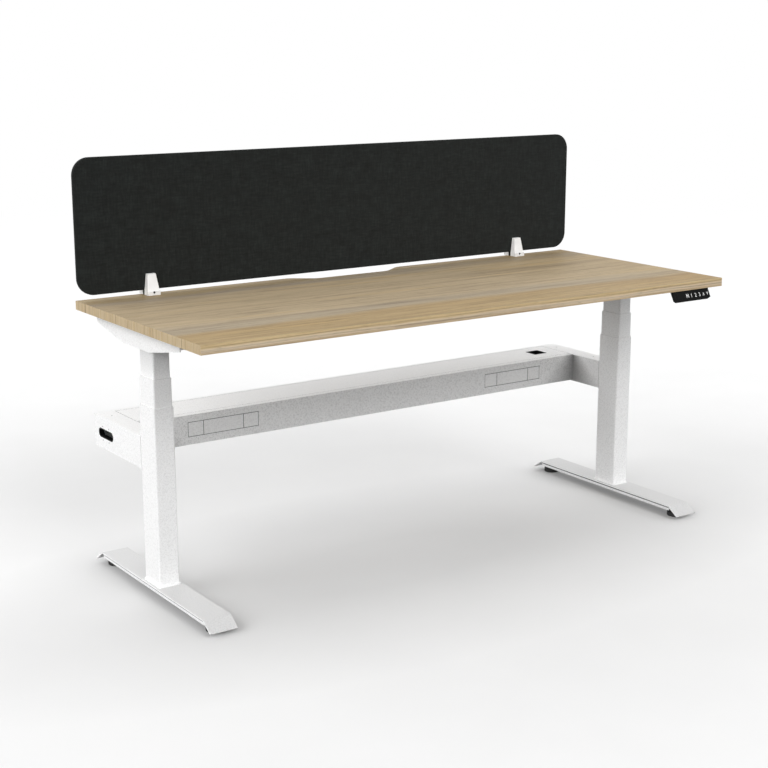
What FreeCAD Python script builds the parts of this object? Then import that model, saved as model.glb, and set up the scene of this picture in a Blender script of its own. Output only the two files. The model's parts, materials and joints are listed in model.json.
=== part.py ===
"""Height-adjustable office desk with a modesty screen, a cable beam and a hand control.

Millimetres, +Z up, +Y to the rear, +X to the user's right.
The origin lies on the floor under the middle of the worktop.
The desk is drawn at the height that it is stored in, part of the way up its travel.
"""
import FreeCAD, Part
import os
import re

import Sketcher

document = FreeCAD.newDocument("HeightAdjustableDesk")

# Driving dimensions
SIZES = (
    # Worktop board with its edge band and the cable scallop in its rear edge
    ("worktop_length", 1800.0),
    ("worktop_depth", 750.0),
    ("worktop_thickness", 25.0),
    ("edge_band", 1.5),
    ("scallop_mouth", 400.0),
    ("scallop_floor", 266.0),
    ("scallop_depth", 50.0),
    ("scallop_round", 45.0),
    # Feet: a bent plate over an inverted channel
    ("column_inset", 65.0),
    ("column_setback", 16.0),
    ("foot_height", 40.0),
    ("foot_width", 81.0),
    ("foot_length", 702.0),
    ("foot_flat", 624.0),
    ("foot_tip_drop", 26.0),
    ("foot_sheet", 4.0),
    ("foot_bend", 9.0),
    ("channel_inset", 4.0),
    ("channel_depth", 12.0),
    ("channel_sheet", 2.0),
    ("channel_length", 620.0),
    ("channel_round", 3.0),
    # Levelling feet
    ("glide_spread", 602.0),
    ("glide_radius", 24.4),
    ("glide_rim", 13.0),
    ("glide_height", 19.0),
    ("glide_neck_radius", 9.0),
    ("glide_edge", 1.5),
    ("stud_radius", 4.0),
    ("stud_tip_gap", 2.0),
    ("weld_boss_radius", 8.0),
    ("weld_boss_height", 8.0),
    ("thread_play", 0.05),
    # Column base plates and their bolts
    ("base_plate_thickness", 4.0),
    ("base_plate_margin", 3.0),
    ("base_bolt_radius", 4.0),
    ("base_bolt_head_radius", 6.5),
    ("base_bolt_head_height", 5.0),
    ("base_bolt_spread_x", 36.0),
    ("base_bolt_spread_y", 64.0),
    ("bolt_hole_play", 0.3),
    # Telescopic columns
    ("outer_tube_width", 60.0),
    ("outer_tube_depth", 90.0),
    ("outer_tube_length", 496.0),
    ("tube_round", 5.0),
    ("tube_wall", 1.5),
    ("stage_gap", 1.0),
    ("middle_proud", 7.75),
    ("arm_proud", 1.75),
    ("drop_to_lowest", 142.5),
    ("lift_stroke", 650.0),
    ("stage_overlap", 150.0),
    ("pad_play", 0.15),
    ("pad_height", 50.0),
    ("pad_width", 18.0),
    ("pad_end_gap", 3.0),
    ("pad_pitch", 50.0),
    # Spindle drive inside each column
    ("motor_radius", 19.0),
    ("motor_length", 112.0),
    ("gearbox_radius", 21.0),
    ("gearbox_length", 38.0),
    ("drive_screw_radius", 5.0),
    ("drive_screw_length", 392.0),
    ("drive_screw_grip", 6.0),
    ("hollow_screw_radius", 8.0),
    ("hollow_screw_length", 380.0),
    ("screw_play", 0.05),
    ("bore_play", 0.3),
    ("base_tower_radius", 11.5),
    ("base_tower_wall", 2.0),
    ("base_tower_length", 356.0),
    ("spindle_nut_radius", 13.5),
    ("spindle_nut_length", 22.0),
    ("middle_tower_radius", 17.0),
    ("middle_tower_wall", 2.0),
    ("tower_head_height", 12.0),
    ("tower_head_gap", 6.0),
    ("hollow_screw_seat", 6.0),
    ("middle_plate", 3.0),
    ("tower_clearance", 1.0),
    # Cable beam between the columns and the arms that carry it
    ("duct_sheet", 2.0),
    ("beam_top_height", 449.0),
    ("beam_front_y", 188.0),
    ("beam_rear_y", 362.0),
    ("beam_duct_depth", 88.0),
    ("arm_duct_depth", 91.5),
    ("beam_front_flange", 22.0),
    ("beam_rear_flange", 10.0),
    ("cover_ledge", 10.0),
    ("cover_play", 1.2),
    ("strap_width", 34.0),
    ("duct_window_margin", 14.0),
    ("arm_cover_screw_front", 120.0),
    ("arm_cover_screw_rear", 308.0),
    ("arm_strap_depth", 18.0),
    # Square cable hole in the beam cover, with its collar
    ("cable_hole_inset", 115.0),
    ("cable_hole_y", 281.0),
    ("cable_hole_size", 45.0),
    ("collar_wall", 1.6),
    ("collar_depth", 22.0),
    ("collar_rim", 2.5),
    ("collar_rim_height", 0.8),
    # Blanked outlets in the beam's front
    ("outlet_inset", 295.0),
    ("outlet_z", 406.0),
    ("outlet_width", 229.0),
    ("outlet_height", 41.0),
    ("outlet_gap", 1.5),
    ("outlet_lip", 6.0),
    ("outlet_backing", 1.5),
    ("outlet_groove", 1.8),
    ("outlet_groove_depth", 1.2),
    ("outlet_end_width", 48.0),
    # Oval cable ports in the arms' outer faces
    ("port_y", 286.0),
    ("port_z", 402.0),
    ("port_length", 97.0),
    ("port_height", 27.0),
    ("port_wall", 4.0),
    ("port_depth", 14.0),
    ("port_flange", 2.0),
    ("port_flange_margin", 12.0),
    ("port_screw_spread", 40.0),
    ("small_screw_radius", 1.5),
    ("small_screw_head_radius", 2.8),
    ("small_screw_head_height", 0.8),
    # Support arms and crossbars under the worktop
    ("side_arm_height", 60.5),
    ("side_arm_sheet", 3.0),
    ("side_arm_front", 209.0),
    ("side_arm_rear", 296.0),
    ("side_arm_end_depth", 28.0),
    ("side_arm_flat_front", 29.0),
    ("side_arm_flat_rear", 130.0),
    ("crossbar_width", 40.0),
    ("crossbar_height", 30.0),
    ("crossbar_wall", 2.0),
    ("crossbar_spread", 190.0),
    ("crossbar_screw_pitch", 520.0),
    ("head_plate_thickness", 5.0),
    ("head_plate_length", 140.0),
    ("arm_screw_front", 176.0),
    ("arm_screw_rear", 246.0),
    ("frame_screw_radius", 3.0),
    ("frame_screw_head_radius", 6.0),
    ("frame_screw_head_height", 3.5),
    ("frame_screw_bite", 14.0),
    # Control box between the crossbars
    ("control_box_length", 250.0),
    ("control_box_width", 95.0),
    ("control_box_height", 34.0),
    ("control_box_round", 4.0),
    ("control_ear", 14.0),
    ("control_ear_thickness", 3.0),
    ("socket_width", 15.0),
    ("socket_height", 11.0),
    ("socket_depth", 9.0),
    ("socket_pitch", 26.0),
    # Hand control under the front edge
    ("handset_inset", 134.0),
    ("handset_width", 151.5),
    ("handset_overhang", 13.0),
    ("handset_setback", 3.0),
    ("handset_height", 31.5),
    ("handset_depth", 60.0),
    ("handset_end_land", 7.0),
    ("handset_corner_run", 15.5),
    ("handset_corner_rise", 5.0),
    ("handset_back_height", 14.0),
    ("display_start", 9.8),
    ("display_width", 34.0),
    ("display_height", 19.0),
    ("display_depth", 1.2),
    ("button_first", 57.8),
    ("button_pitch", 17.0),
    ("button_width", 13.0),
    ("button_height", 15.0),
    ("button_round", 2.0),
    ("button_depth", 4.0),
    ("button_travel_room", 1.6),
    ("button_play", 0.4),
    # Screen and the brackets that clamp it to the rear edge
    ("screen_length", 1800.0),
    ("screen_height", 385.0),
    ("screen_thickness", 12.0),
    ("screen_round", 50.0),
    ("screen_gap", 14.0),
    ("screen_setback", 21.0),
    ("bracket_inset", 222.0),
    ("bracket_base_width", 39.0),
    ("bracket_base_height", 12.0),
    ("bracket_front_depth", 26.0),
    ("bracket_rear_depth", 22.0),
    ("bracket_shoulder_width", 38.0),
    ("bracket_shoulder_inset", 3.0),
    ("bracket_height", 61.0),
    ("bracket_top_width", 26.0),
    ("bracket_top_depth", 13.0),
    ("bracket_round", 3.0),
    ("spacer_width", 35.0),
    ("bracket_screw_radius", 3.5),
    ("bracket_screw_height", 8.5),
    ("bracket_screw_sink", 1.0),
    ("clamp_width", 30.0),
    ("clamp_leg", 4.0),
    ("clamp_leg_play", 0.3),
    ("clamp_drop", 24.0),
    ("clamp_reach", 42.0),
    ("clamp_screw_radius", 4.0),
    ("clamp_screw_inset", 25.0),
    ("clamp_pad_radius", 9.0),
    ("clamp_pad_height", 4.0),
    ("clamp_knob_radius", 10.0),
    ("clamp_knob_height", 9.0),
    ("clamp_knob_gap", 5.0),
    # One overrun that carries every cut past the face it opens
    ("overrun", 1.0),
)

sheet = document.addObject("Spreadsheet::Sheet", "Sizes")
for row, (size_name, size_value) in enumerate(SIZES, start=1):
    sheet.set("A%d" % row, size_name.replace("_", " "))
    sheet.set("B%d" % row, str(size_value))
    sheet.setAlias("B%d" % row, size_name)
document.recompute()

NAMES = re.compile(r"\b(%s)\b" % "|".join(size_name for size_name, size_value in SIZES))
gauge = document.addObject("App::FeaturePython", "Gauge")
gauge.addProperty("App::PropertyFloat", "reading")

# Places that several pieces share, worked out from the driving dimensions
COLUMN_X = "(worktop_length / 2 - column_inset)"
FOOT_TOP = "(foot_height)"
TUBE_BOTTOM = "(foot_height + base_plate_thickness)"
OUTER_TOP = "(foot_height + base_plate_thickness + outer_tube_length)"
MIDDLE_WIDTH = "(outer_tube_width - 2 * tube_wall - 2 * stage_gap)"
MIDDLE_DEPTH = "(outer_tube_depth - 2 * tube_wall - 2 * stage_gap)"
INNER_WIDTH = "(outer_tube_width - 4 * tube_wall - 4 * stage_gap)"
INNER_DEPTH = "(outer_tube_depth - 4 * tube_wall - 4 * stage_gap)"
MIDDLE_TOP = f"({OUTER_TOP} + middle_proud + drop_to_lowest / 2)"
MIDDLE_LENGTH = "(middle_proud + lift_stroke / 2 + stage_overlap)"
MIDDLE_BOTTOM = f"({MIDDLE_TOP} - {MIDDLE_LENGTH})"
ARM_BOTTOM = f"({OUTER_TOP} + middle_proud + arm_proud + drop_to_lowest)"
UNDERSIDE = f"({ARM_BOTTOM} + side_arm_height)"
WORKTOP_TOP = f"({UNDERSIDE} + worktop_thickness)"
HEAD_UNDERSIDE = f"({UNDERSIDE} - side_arm_sheet - head_plate_thickness)"
INNER_BOTTOM = (
    f"({OUTER_TOP} + middle_proud - lift_stroke / 2 - stage_overlap + drop_to_lowest)"
)
BASE_TOWER_TOP = f"({TUBE_BOTTOM} + base_tower_length)"
BASE_NUT_TOP = f"({BASE_TOWER_TOP} + spindle_nut_length)"
MIDDLE_HEAD_BOTTOM = f"({BASE_NUT_TOP} + tower_head_gap + drop_to_lowest / 2)"
MOTOR_BOTTOM = f"({HEAD_UNDERSIDE} - motor_length - gearbox_length)"
COLUMN_REAR = "(column_setback + outer_tube_depth / 2)"
ARM_INNER_X = f"({COLUMN_X} - outer_tube_width / 2)"
BEAM_BOTTOM = "(beam_top_height - beam_duct_depth)"
ARM_DUCT_BOTTOM = "(beam_top_height - arm_duct_depth)"
LEDGE_TOP = "(beam_top_height - duct_sheet)"
WORKTOP_REAR = "(worktop_depth / 2)"
SCREEN_FRONT = "(worktop_depth / 2 - screen_setback)"
SCREEN_REAR = f"({SCREEN_FRONT} + screen_thickness)"
SCREEN_BOTTOM = f"({WORKTOP_TOP} + screen_gap)"

SIDES = (("left", -1), ("right", 1))
ARM_COVER_SCREWS = ("arm_cover_screw_front", "arm_cover_screw_rear")
parts = []


def tie(item, name, formula):
    """Tie a property to a formula of the driving dimensions."""
    item.setExpression(name, NAMES.sub(r"Sizes.\1", formula))


def measure(formula):
    """The present value of a formula, for choosing edges and starting a sketch."""
    tie(gauge, "reading", formula)
    gauge.recompute()
    return gauge.reading


def place(item, corner, rotation=None):
    """Put an item at a corner given by three formulas."""
    if rotation is not None:
        item.Placement = FreeCAD.Placement(FreeCAD.Vector(), rotation)
    for letter, formula in zip("xyz", corner):
        if formula != "0":
            tie(item, "Placement.Base.%s" % letter, formula)
    return item


def keep(label, item):
    """Make an item a sub-part under its own name."""
    item.Label = label
    parts.append(item)
    return item


def block(size, corner):
    """A box of three sizes with its lowest corner at a place."""
    item = document.addObject("Part::Box", "Block")
    for name, formula in zip(("Length", "Width", "Height"), size):
        tie(item, name, formula)
    return place(item, corner)


AXES = {
    "x": FreeCAD.Rotation(FreeCAD.Vector(0, 1, 0), 90),
    "y": FreeCAD.Rotation(FreeCAD.Vector(1, 0, 0), -90),
    "z": FreeCAD.Rotation(),
}


def rod(radius, length, start, axis="z"):
    """A round bar that starts at a place and runs along an axis."""
    item = document.addObject("Part::Cylinder", "Rod")
    tie(item, "Radius", radius)
    tie(item, "Height", length)
    return place(item, start, AXES[axis])


def drill(radius, depth, start, axis="z"):
    """A round cut through a wall, carried past both its faces."""
    shifted = [
        f"{formula} - overrun" if letter == axis else formula
        for letter, formula in zip("xyz", start)
    ]
    return rod(radius, f"({depth} + 2 * overrun)", shifted, axis)


def fused(pieces):
    """One solid made of several that touch."""
    item = document.addObject("Part::MultiFuse", "Fused")
    item.Shapes = pieces
    item.Refine = True
    return item


def grouped(pieces):
    """Separate solids kept as one sub-part."""
    item = document.addObject("Part::Compound", "Group")
    item.Links = pieces
    return item


def carved(base, tools):
    """A solid with others taken away from it."""
    item = document.addObject("Part::Cut", "Carved")
    item.Base = base
    item.Tool = tools[0] if len(tools) == 1 else grouped(tools)
    return item


def fix_point(sketch, geometry, end, x, y):
    """Hold a sketch point at two formulas from the origin."""
    for kind, axis, formula in (("DistanceX", -2, x), ("DistanceY", -1, y)):
        if formula == "0":
            sketch.addConstraint(Sketcher.Constraint("PointOnObject", geometry, end, axis))
            continue
        reading = measure(formula)
        index = sketch.addConstraint(Sketcher.Constraint(kind, -1, 1, geometry, end, reading))
        tie(sketch, "Constraints[%d]" % index, formula)


def fix_radius(sketch, geometry, radius):
    """Hold an arc or a circle to a radius formula."""
    index = sketch.addConstraint(Sketcher.Constraint("Radius", geometry, measure(radius)))
    tie(sketch, "Constraints[%d]" % index, radius)


def draw_polygon(sketch, points):
    """A closed outline through points, each a pair of formulas."""
    spots = [FreeCAD.Vector(measure(x), measure(y), 0) for x, y in points]
    lines = []
    for start, end in zip(spots, spots[1:] + spots[:1]):
        lines.append(sketch.addGeometry(Part.LineSegment(start, end)))
    for line, following in zip(lines, lines[1:] + lines[:1]):
        sketch.addConstraint(Sketcher.Constraint("Coincident", line, 2, following, 1))
    for line, (x, y) in zip(lines, points):
        fix_point(sketch, line, 1, x, y)


def draw_circle(sketch, x, y, radius):
    """A circle about a place."""
    centre = FreeCAD.Vector(measure(x), measure(y), 0)
    circle = Part.Circle(centre, FreeCAD.Vector(0, 0, 1), measure(radius))
    index = sketch.addGeometry(circle)
    fix_point(sketch, index, 3, x, y)
    fix_radius(sketch, index, radius)


def draw_rounded(sketch, x, y, width, depth, radius):
    """A rectangle about a place with four equal round corners."""
    middle = FreeCAD.Vector(measure(x), measure(y), 0)
    across = measure(width) / 2
    along = measure(depth) / 2
    bend = measure(radius)
    corners = ((1, -1, 270), (1, 1, 0), (-1, 1, 90), (-1, -1, 180))
    arcs = []
    for side, end, first in corners:
        centre = middle + FreeCAD.Vector(side * (across - bend), end * (along - bend), 0)
        circle = Part.Circle(centre, FreeCAD.Vector(0, 0, 1), bend)
        turn = FreeCAD.Units.Quantity("%d deg" % first).getValueAs("rad").Value
        quarter = FreeCAD.Units.Quantity("90 deg").getValueAs("rad").Value
        arcs.append(sketch.addGeometry(Part.ArcOfCircle(circle, turn, turn + quarter)))
    for arc, following in zip(arcs, arcs[1:] + arcs[:1]):
        start = sketch.Geometry[arc].EndPoint
        end = sketch.Geometry[following].StartPoint
        line = sketch.addGeometry(Part.LineSegment(start, end))
        sketch.addConstraint(Sketcher.Constraint("Tangent", arc, 2, line, 1))
        sketch.addConstraint(Sketcher.Constraint("Tangent", line, 2, following, 1))
    for arc, (side, end, first) in zip(arcs, corners):
        centre_x = f"{x} + {side} * ({width} / 2 - {radius})"
        centre_y = f"{y} + {end} * ({depth} / 2 - {radius})"
        fix_point(sketch, arc, 3, centre_x, centre_y)
    fix_radius(sketch, arcs[0], radius)


DRAW = {"polygon": draw_polygon, "circle": draw_circle, "rounded": draw_rounded}


def add_sketch(body, plane, loops):
    """A sketch on one of the body's own origin planes."""
    sketch = body.newObject("Sketcher::SketchObject", "Outline")
    role = plane.upper() + "_Plane"
    origin_plane = [item for item in body.Origin.OriginFeatures if item.Role == role][0]
    sketch.AttachmentSupport = [(origin_plane, "")]
    sketch.MapMode = "FlatFace"
    for kind, *values in loops:
        DRAW[kind](sketch, *values)
    return sketch


def prism(plane, loops, length, corner, rotation=None):
    """A body with its outline in a plane, carried along the axis that leaves the plane."""
    body = document.addObject("PartDesign::Body", "Body")
    sketch = add_sketch(body, plane, loops)
    pad = body.newObject("PartDesign::Pad", "Pad")
    pad.Profile = sketch
    tie(pad, "Length", length)
    pad.Reversed = plane == "xz"
    return place(body, corner, rotation)


def turned(points, corner):
    """A body turned about its upright axis from an outline of radius and height."""
    body = document.addObject("PartDesign::Body", "Body")
    sketch = add_sketch(body, "xz", [("polygon", points)])
    turn = body.newObject("PartDesign::Revolution", "Turned")
    turn.Profile = sketch
    turn.ReferenceAxis = (sketch, ["V_Axis"])
    turn.Angle = 360.0
    return place(body, corner)


# How near two readings of one place are
SAME_PLACE = 1e-3


def edges_along(shape, direction, spots):
    """Names of the straight edges along a direction that pass the given spots."""
    plane = [index for index in range(3) if index != "xyz".index(direction)]
    names = []
    for number, edge in enumerate(shape.Edges, start=1):
        first, last = edge.firstVertex().Point, edge.lastVertex().Point
        for spot in spots:
            near = all(
                abs(end[index] - value) < SAME_PLACE
                for end in (first, last)
                for index, value in zip(plane, spot)
            )
            if near and edge.Length > SAME_PLACE:
                names.append("Edge%d" % number)
    return names


def rounded_off(body, direction, spots, radius):
    """Round edges of a body; the spots are pairs of formulas in the body's own frame."""
    document.recompute()
    base = body.Tip
    readings = [[measure(formula) for formula in spot] for spot in spots]
    fillet = body.newObject("PartDesign::Fillet", "Round")
    fillet.Base = (base, edges_along(base.Shape, direction, readings))
    tie(fillet, "Radius", radius)
    return body


# Worktop
def worktop_outline(inset):
    """The worktop's plan, drawn in by an inset on every side."""
    side = f"(worktop_length / 2 - {inset})"
    edge = f"(worktop_depth / 2 - {inset})"
    slope = "(scallop_depth / (scallop_mouth / 2 - scallop_floor / 2))"
    shift = f"({inset} * tan(atan({slope}) / 2))"
    mouth = f"(scallop_mouth / 2 + {shift})"
    floor = f"(scallop_floor / 2 + {shift})"
    deep = f"(worktop_depth / 2 - scallop_depth - {inset})"
    points = [
        (f"-{side}", f"-{edge}"),
        (side, f"-{edge}"),
        (side, edge),
        (mouth, edge),
        (floor, deep),
        (f"-{floor}", deep),
        (f"-{mouth}", edge),
        (f"-{side}", edge),
    ]
    slab = prism("xy", [("polygon", points)], "worktop_thickness", ("0", "0", UNDERSIDE))
    outer = [(mouth, edge), (f"-{mouth}", edge)]
    inner = [(floor, deep), (f"-{floor}", deep)]
    rounded_off(slab, "z", outer, f"scallop_round - {inset}")
    return rounded_off(slab, "z", inner, f"scallop_round + {inset}")


def frame_screw_places():
    """Where screws rise through the support arms and the crossbars into the worktop."""
    places = []
    for name, side in SIDES:
        for reach in ("-arm_screw_front", "arm_screw_rear"):
            places.append((f"{side} * {COLUMN_X}", f"(column_setback + {reach})", "side_arm_sheet"))
    for row in (-1, 1):
        for step in (-1, 1):
            y = f"(column_setback + {row} * crossbar_spread / 2)"
            places.append((f"{step} * crossbar_screw_pitch", y, "crossbar_height"))
    return places


def build_worktop():
    """The board, its edge band and the screws that hold the frame to it."""
    holes = []
    screws = []
    for x, y, grip in frame_screw_places():
        start = f"({UNDERSIDE} - {grip})"
        length = f"({grip} + frame_screw_bite)"
        pilot_start = (x, y, f"{UNDERSIDE} - overrun")
        pilot_radius = "frame_screw_radius + thread_play"
        holes.append(rod(pilot_radius, "(frame_screw_bite + overrun)", pilot_start))
        head_start = f"{start} - frame_screw_head_height"
        head = rod("frame_screw_head_radius", "frame_screw_head_height", (x, y, head_start))
        shank = rod("frame_screw_radius", f"{length} - overrun", (x, y, start))
        screws.append(fused([head, shank]))
    core = worktop_outline("edge_band")
    keep("worktop_board", carved(core, holes))
    keep("worktop_edge_band", carved(worktop_outline("0"), [core]))
    keep("frame_screws", grouped(screws))


# Feet and levelling feet
def build_foot(name, side):
    """A bent foot plate over its channel, with room for the levelling studs and bolts."""
    slope = "atan(foot_tip_drop / (foot_length / 2 - foot_flat / 2))"
    tip = "(foot_length / 2)"
    flat = "(foot_flat / 2)"
    low = "(-foot_tip_drop)"
    inner_tip = f"(foot_length / 2 - foot_sheet * sin({slope}))"
    inner_low = f"(-foot_tip_drop - foot_sheet * cos({slope}))"
    inner_flat = f"(foot_flat / 2 - foot_sheet * tan({slope} / 2))"
    outline = [
        (f"-{flat}", "0"),
        (f"-{tip}", low),
        (f"-{inner_tip}", inner_low),
        (f"-{inner_flat}", "-foot_sheet"),
        (inner_flat, "-foot_sheet"),
        (inner_tip, inner_low),
        (tip, low),
        (flat, "0"),
    ]
    left = f"({side} * {COLUMN_X} - foot_width / 2)"
    plate = prism("yz", [("polygon", outline)], "foot_width", (left, "column_setback", FOOT_TOP))
    rounded_off(plate, "x", [(flat, "0"), (f"-{flat}", "0")], "foot_bend")
    inner_bends = [(inner_flat, "-foot_sheet"), (f"-{inner_flat}", "-foot_sheet")]
    rounded_off(plate, "x", inner_bends, "foot_bend - foot_sheet")
    holes = [
        drill("base_bolt_radius + bolt_hole_play", "foot_sheet", (x, y, f"{FOOT_TOP} - foot_sheet"))
        for x, y in base_bolt_places(side)
    ]
    return keep(f"{name}_foot_plate", carved(plate, holes))


def base_bolt_places(side):
    """The four bolt places under a column."""
    return [
        (
            f"({side} * {COLUMN_X} + {across} * base_bolt_spread_x / 2)",
            f"(column_setback + {along} * base_bolt_spread_y / 2)",
        )
        for across in (-1, 1)
        for along in (-1, 1)
    ]


CHANNEL_TOP = "(foot_height - foot_sheet)"
CHANNEL_WIDTH = "(foot_width - 2 * channel_inset)"


def build_channel(side):
    """The inverted channel under a foot plate, with a threaded boss over each levelling foot."""
    half = f"({CHANNEL_WIDTH} / 2)"
    inner = f"({CHANNEL_WIDTH} / 2 - channel_sheet)"
    outline = [
        (f"-{half}", "-channel_depth"),
        (f"-{half}", "0"),
        (half, "0"),
        (half, "-channel_depth"),
        (inner, "-channel_depth"),
        (inner, "-channel_sheet"),
        (f"-{inner}", "-channel_sheet"),
        (f"-{inner}", "-channel_depth"),
    ]
    x = f"{side} * {COLUMN_X}"
    front = "(column_setback - channel_length / 2)"
    channel = prism("xz", [("polygon", outline)], "channel_length", (x, front, CHANNEL_TOP))
    rounded_off(channel, "y", [(half, "0"), (f"-{half}", "0")], "channel_round")
    bosses = []
    holes = []
    boss_bottom = f"({CHANNEL_TOP} - channel_sheet - weld_boss_height)"
    for end in (-1, 1):
        y = f"(column_setback + {end} * glide_spread / 2)"
        bosses.append(rod("weld_boss_radius", "weld_boss_height", (x, y, boss_bottom)))
        bore = "stud_radius + thread_play"
        holes.append(rod(bore, "weld_boss_height", (x, y, boss_bottom)))
    for bolt_x, bolt_y in base_bolt_places(side):
        start = (bolt_x, bolt_y, f"{CHANNEL_TOP} - channel_sheet")
        holes.append(drill("base_bolt_radius + bolt_hole_play", "channel_sheet", start))
    return carved(fused([channel] + bosses), holes)


def build_levelling_foot(label, side, end):
    """A round glide on a threaded stud, which turns in the channel's boss."""
    tip = f"({CHANNEL_TOP} - channel_sheet - stud_tip_gap)"
    points = [
        ("0", "0"),
        ("glide_radius - glide_edge", "0"),
        ("glide_radius", "glide_edge"),
        ("glide_radius", "glide_rim"),
        ("glide_neck_radius", "glide_height"),
        ("stud_radius", "glide_height"),
        ("stud_radius", tip),
        ("0", tip),
    ]
    y = f"column_setback + {end} * glide_spread / 2"
    return keep(label, turned(points, (f"{side} * {COLUMN_X}", y, "0")))


def build_base_plates():
    """The plate that each column stands on, and the bolts that come up through the foot."""
    plates = []
    bolts = []
    for name, side in SIDES:
        holes = []
        for x, y in base_bolt_places(side):
            radius = "base_bolt_radius + thread_play"
            holes.append(drill(radius, "base_plate_thickness", (x, y, FOOT_TOP)))
            shank_start = f"({CHANNEL_TOP} - channel_sheet)"
            head_start = f"{shank_start} - base_bolt_head_height"
            head = rod("base_bolt_head_radius", "base_bolt_head_height", (x, y, head_start))
            shank = rod("base_bolt_radius", f"{TUBE_BOTTOM} - {shank_start}", (x, y, shank_start))
            bolts.append(fused([head, shank]))
        loop = (
            "rounded",
            "0",
            "0",
            "(outer_tube_width + 2 * base_plate_margin)",
            "(outer_tube_depth + 2 * base_plate_margin)",
            "tube_round",
        )
        corner = (f"{side} * {COLUMN_X}", "column_setback", FOOT_TOP)
        plates.append(carved(prism("xy", [loop], "base_plate_thickness", corner), holes))
    keep("column_base_plates", grouped(plates))
    keep("column_bolts", grouped(bolts))


# Telescopic columns
def build_tube(label, side, width, depth, bottom, length):
    """One stage of a column: a rectangular tube with round corners."""
    inner_width = f"({width} - 2 * tube_wall)"
    inner_depth = f"({depth} - 2 * tube_wall)"
    loops = [
        ("rounded", "0", "0", width, depth, "tube_round"),
        ("rounded", "0", "0", inner_width, inner_depth, "(tube_round - tube_wall)"),
    ]
    corner = (f"{side} * {COLUMN_X}", "column_setback", bottom)
    return keep(label, prism("xy", loops, length, corner))


def pads_round(side, width, depth, bottom, inside):
    """Glide pads on the four faces of a tube, inside it or outside it."""
    thickness = "(stage_gap - pad_play)"
    x = f"{side} * {COLUMN_X}"
    pads = []
    for face in (-1, 1):
        for row in (-1, 1):
            if inside:
                near = f"({width} / 2 - {thickness})"
            else:
                near = f"({width} / 2)"
            start = near if face > 0 else f"(-{near} - {thickness})"
            y = f"column_setback + {row} * pad_pitch / 2 - pad_width / 2"
            pads.append(block((thickness, "pad_width", "pad_height"), (f"{x} + {start}", y, bottom)))
        if inside:
            near = f"({depth} / 2 - {thickness})"
        else:
            near = f"({depth} / 2)"
        start = near if face > 0 else f"(-{near} - {thickness})"
        corner = (f"{x} - pad_width / 2", f"column_setback + {start}", bottom)
        pads.append(block(("pad_width", thickness, "pad_height"), corner))
    return pads


def build_columns():
    """Both columns with their glide pads."""
    outer_pads = []
    inner_pads = []
    inside_outer = ("(outer_tube_width - 2 * tube_wall)", "(outer_tube_depth - 2 * tube_wall)")
    inside_middle = (f"({MIDDLE_WIDTH} - 2 * tube_wall)", f"({MIDDLE_DEPTH} - 2 * tube_wall)")
    for name, side in SIDES:
        inner_length = f"({HEAD_UNDERSIDE} - {INNER_BOTTOM})"
        for stage, width, depth, bottom, length in (
            ("outer", "outer_tube_width", "outer_tube_depth", TUBE_BOTTOM, "outer_tube_length"),
            ("middle", MIDDLE_WIDTH, MIDDLE_DEPTH, MIDDLE_BOTTOM, MIDDLE_LENGTH),
            ("inner", INNER_WIDTH, INNER_DEPTH, INNER_BOTTOM, inner_length),
        ):
            build_tube(f"{name}_{stage}_tube", side, width, depth, bottom, length)
        top = f"{OUTER_TOP} - pad_end_gap - pad_height"
        outer_pads += pads_round(side, *inside_outer, top, True)
        foot = f"{MIDDLE_BOTTOM} + pad_end_gap"
        middle_pads = pads_round(side, MIDDLE_WIDTH, MIDDLE_DEPTH, foot, False)
        top = f"{MIDDLE_TOP} - pad_end_gap - pad_height"
        middle_pads += pads_round(side, *inside_middle, top, True)
        keep(f"{name}_middle_glides", grouped(middle_pads))
        foot = f"{INNER_BOTTOM} + pad_end_gap"
        inner_pads += pads_round(side, INNER_WIDTH, INNER_DEPTH, foot, False)
    keep("outer_tube_glides", grouped(outer_pads))
    keep("inner_tube_glides", grouped(inner_pads))


def pipe(radius, wall, length, start):
    """A round tube that rises from a place."""
    bore = drill(f"({radius} - {wall})", length, start)
    return carved(rod(radius, length, start), [bore])


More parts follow.
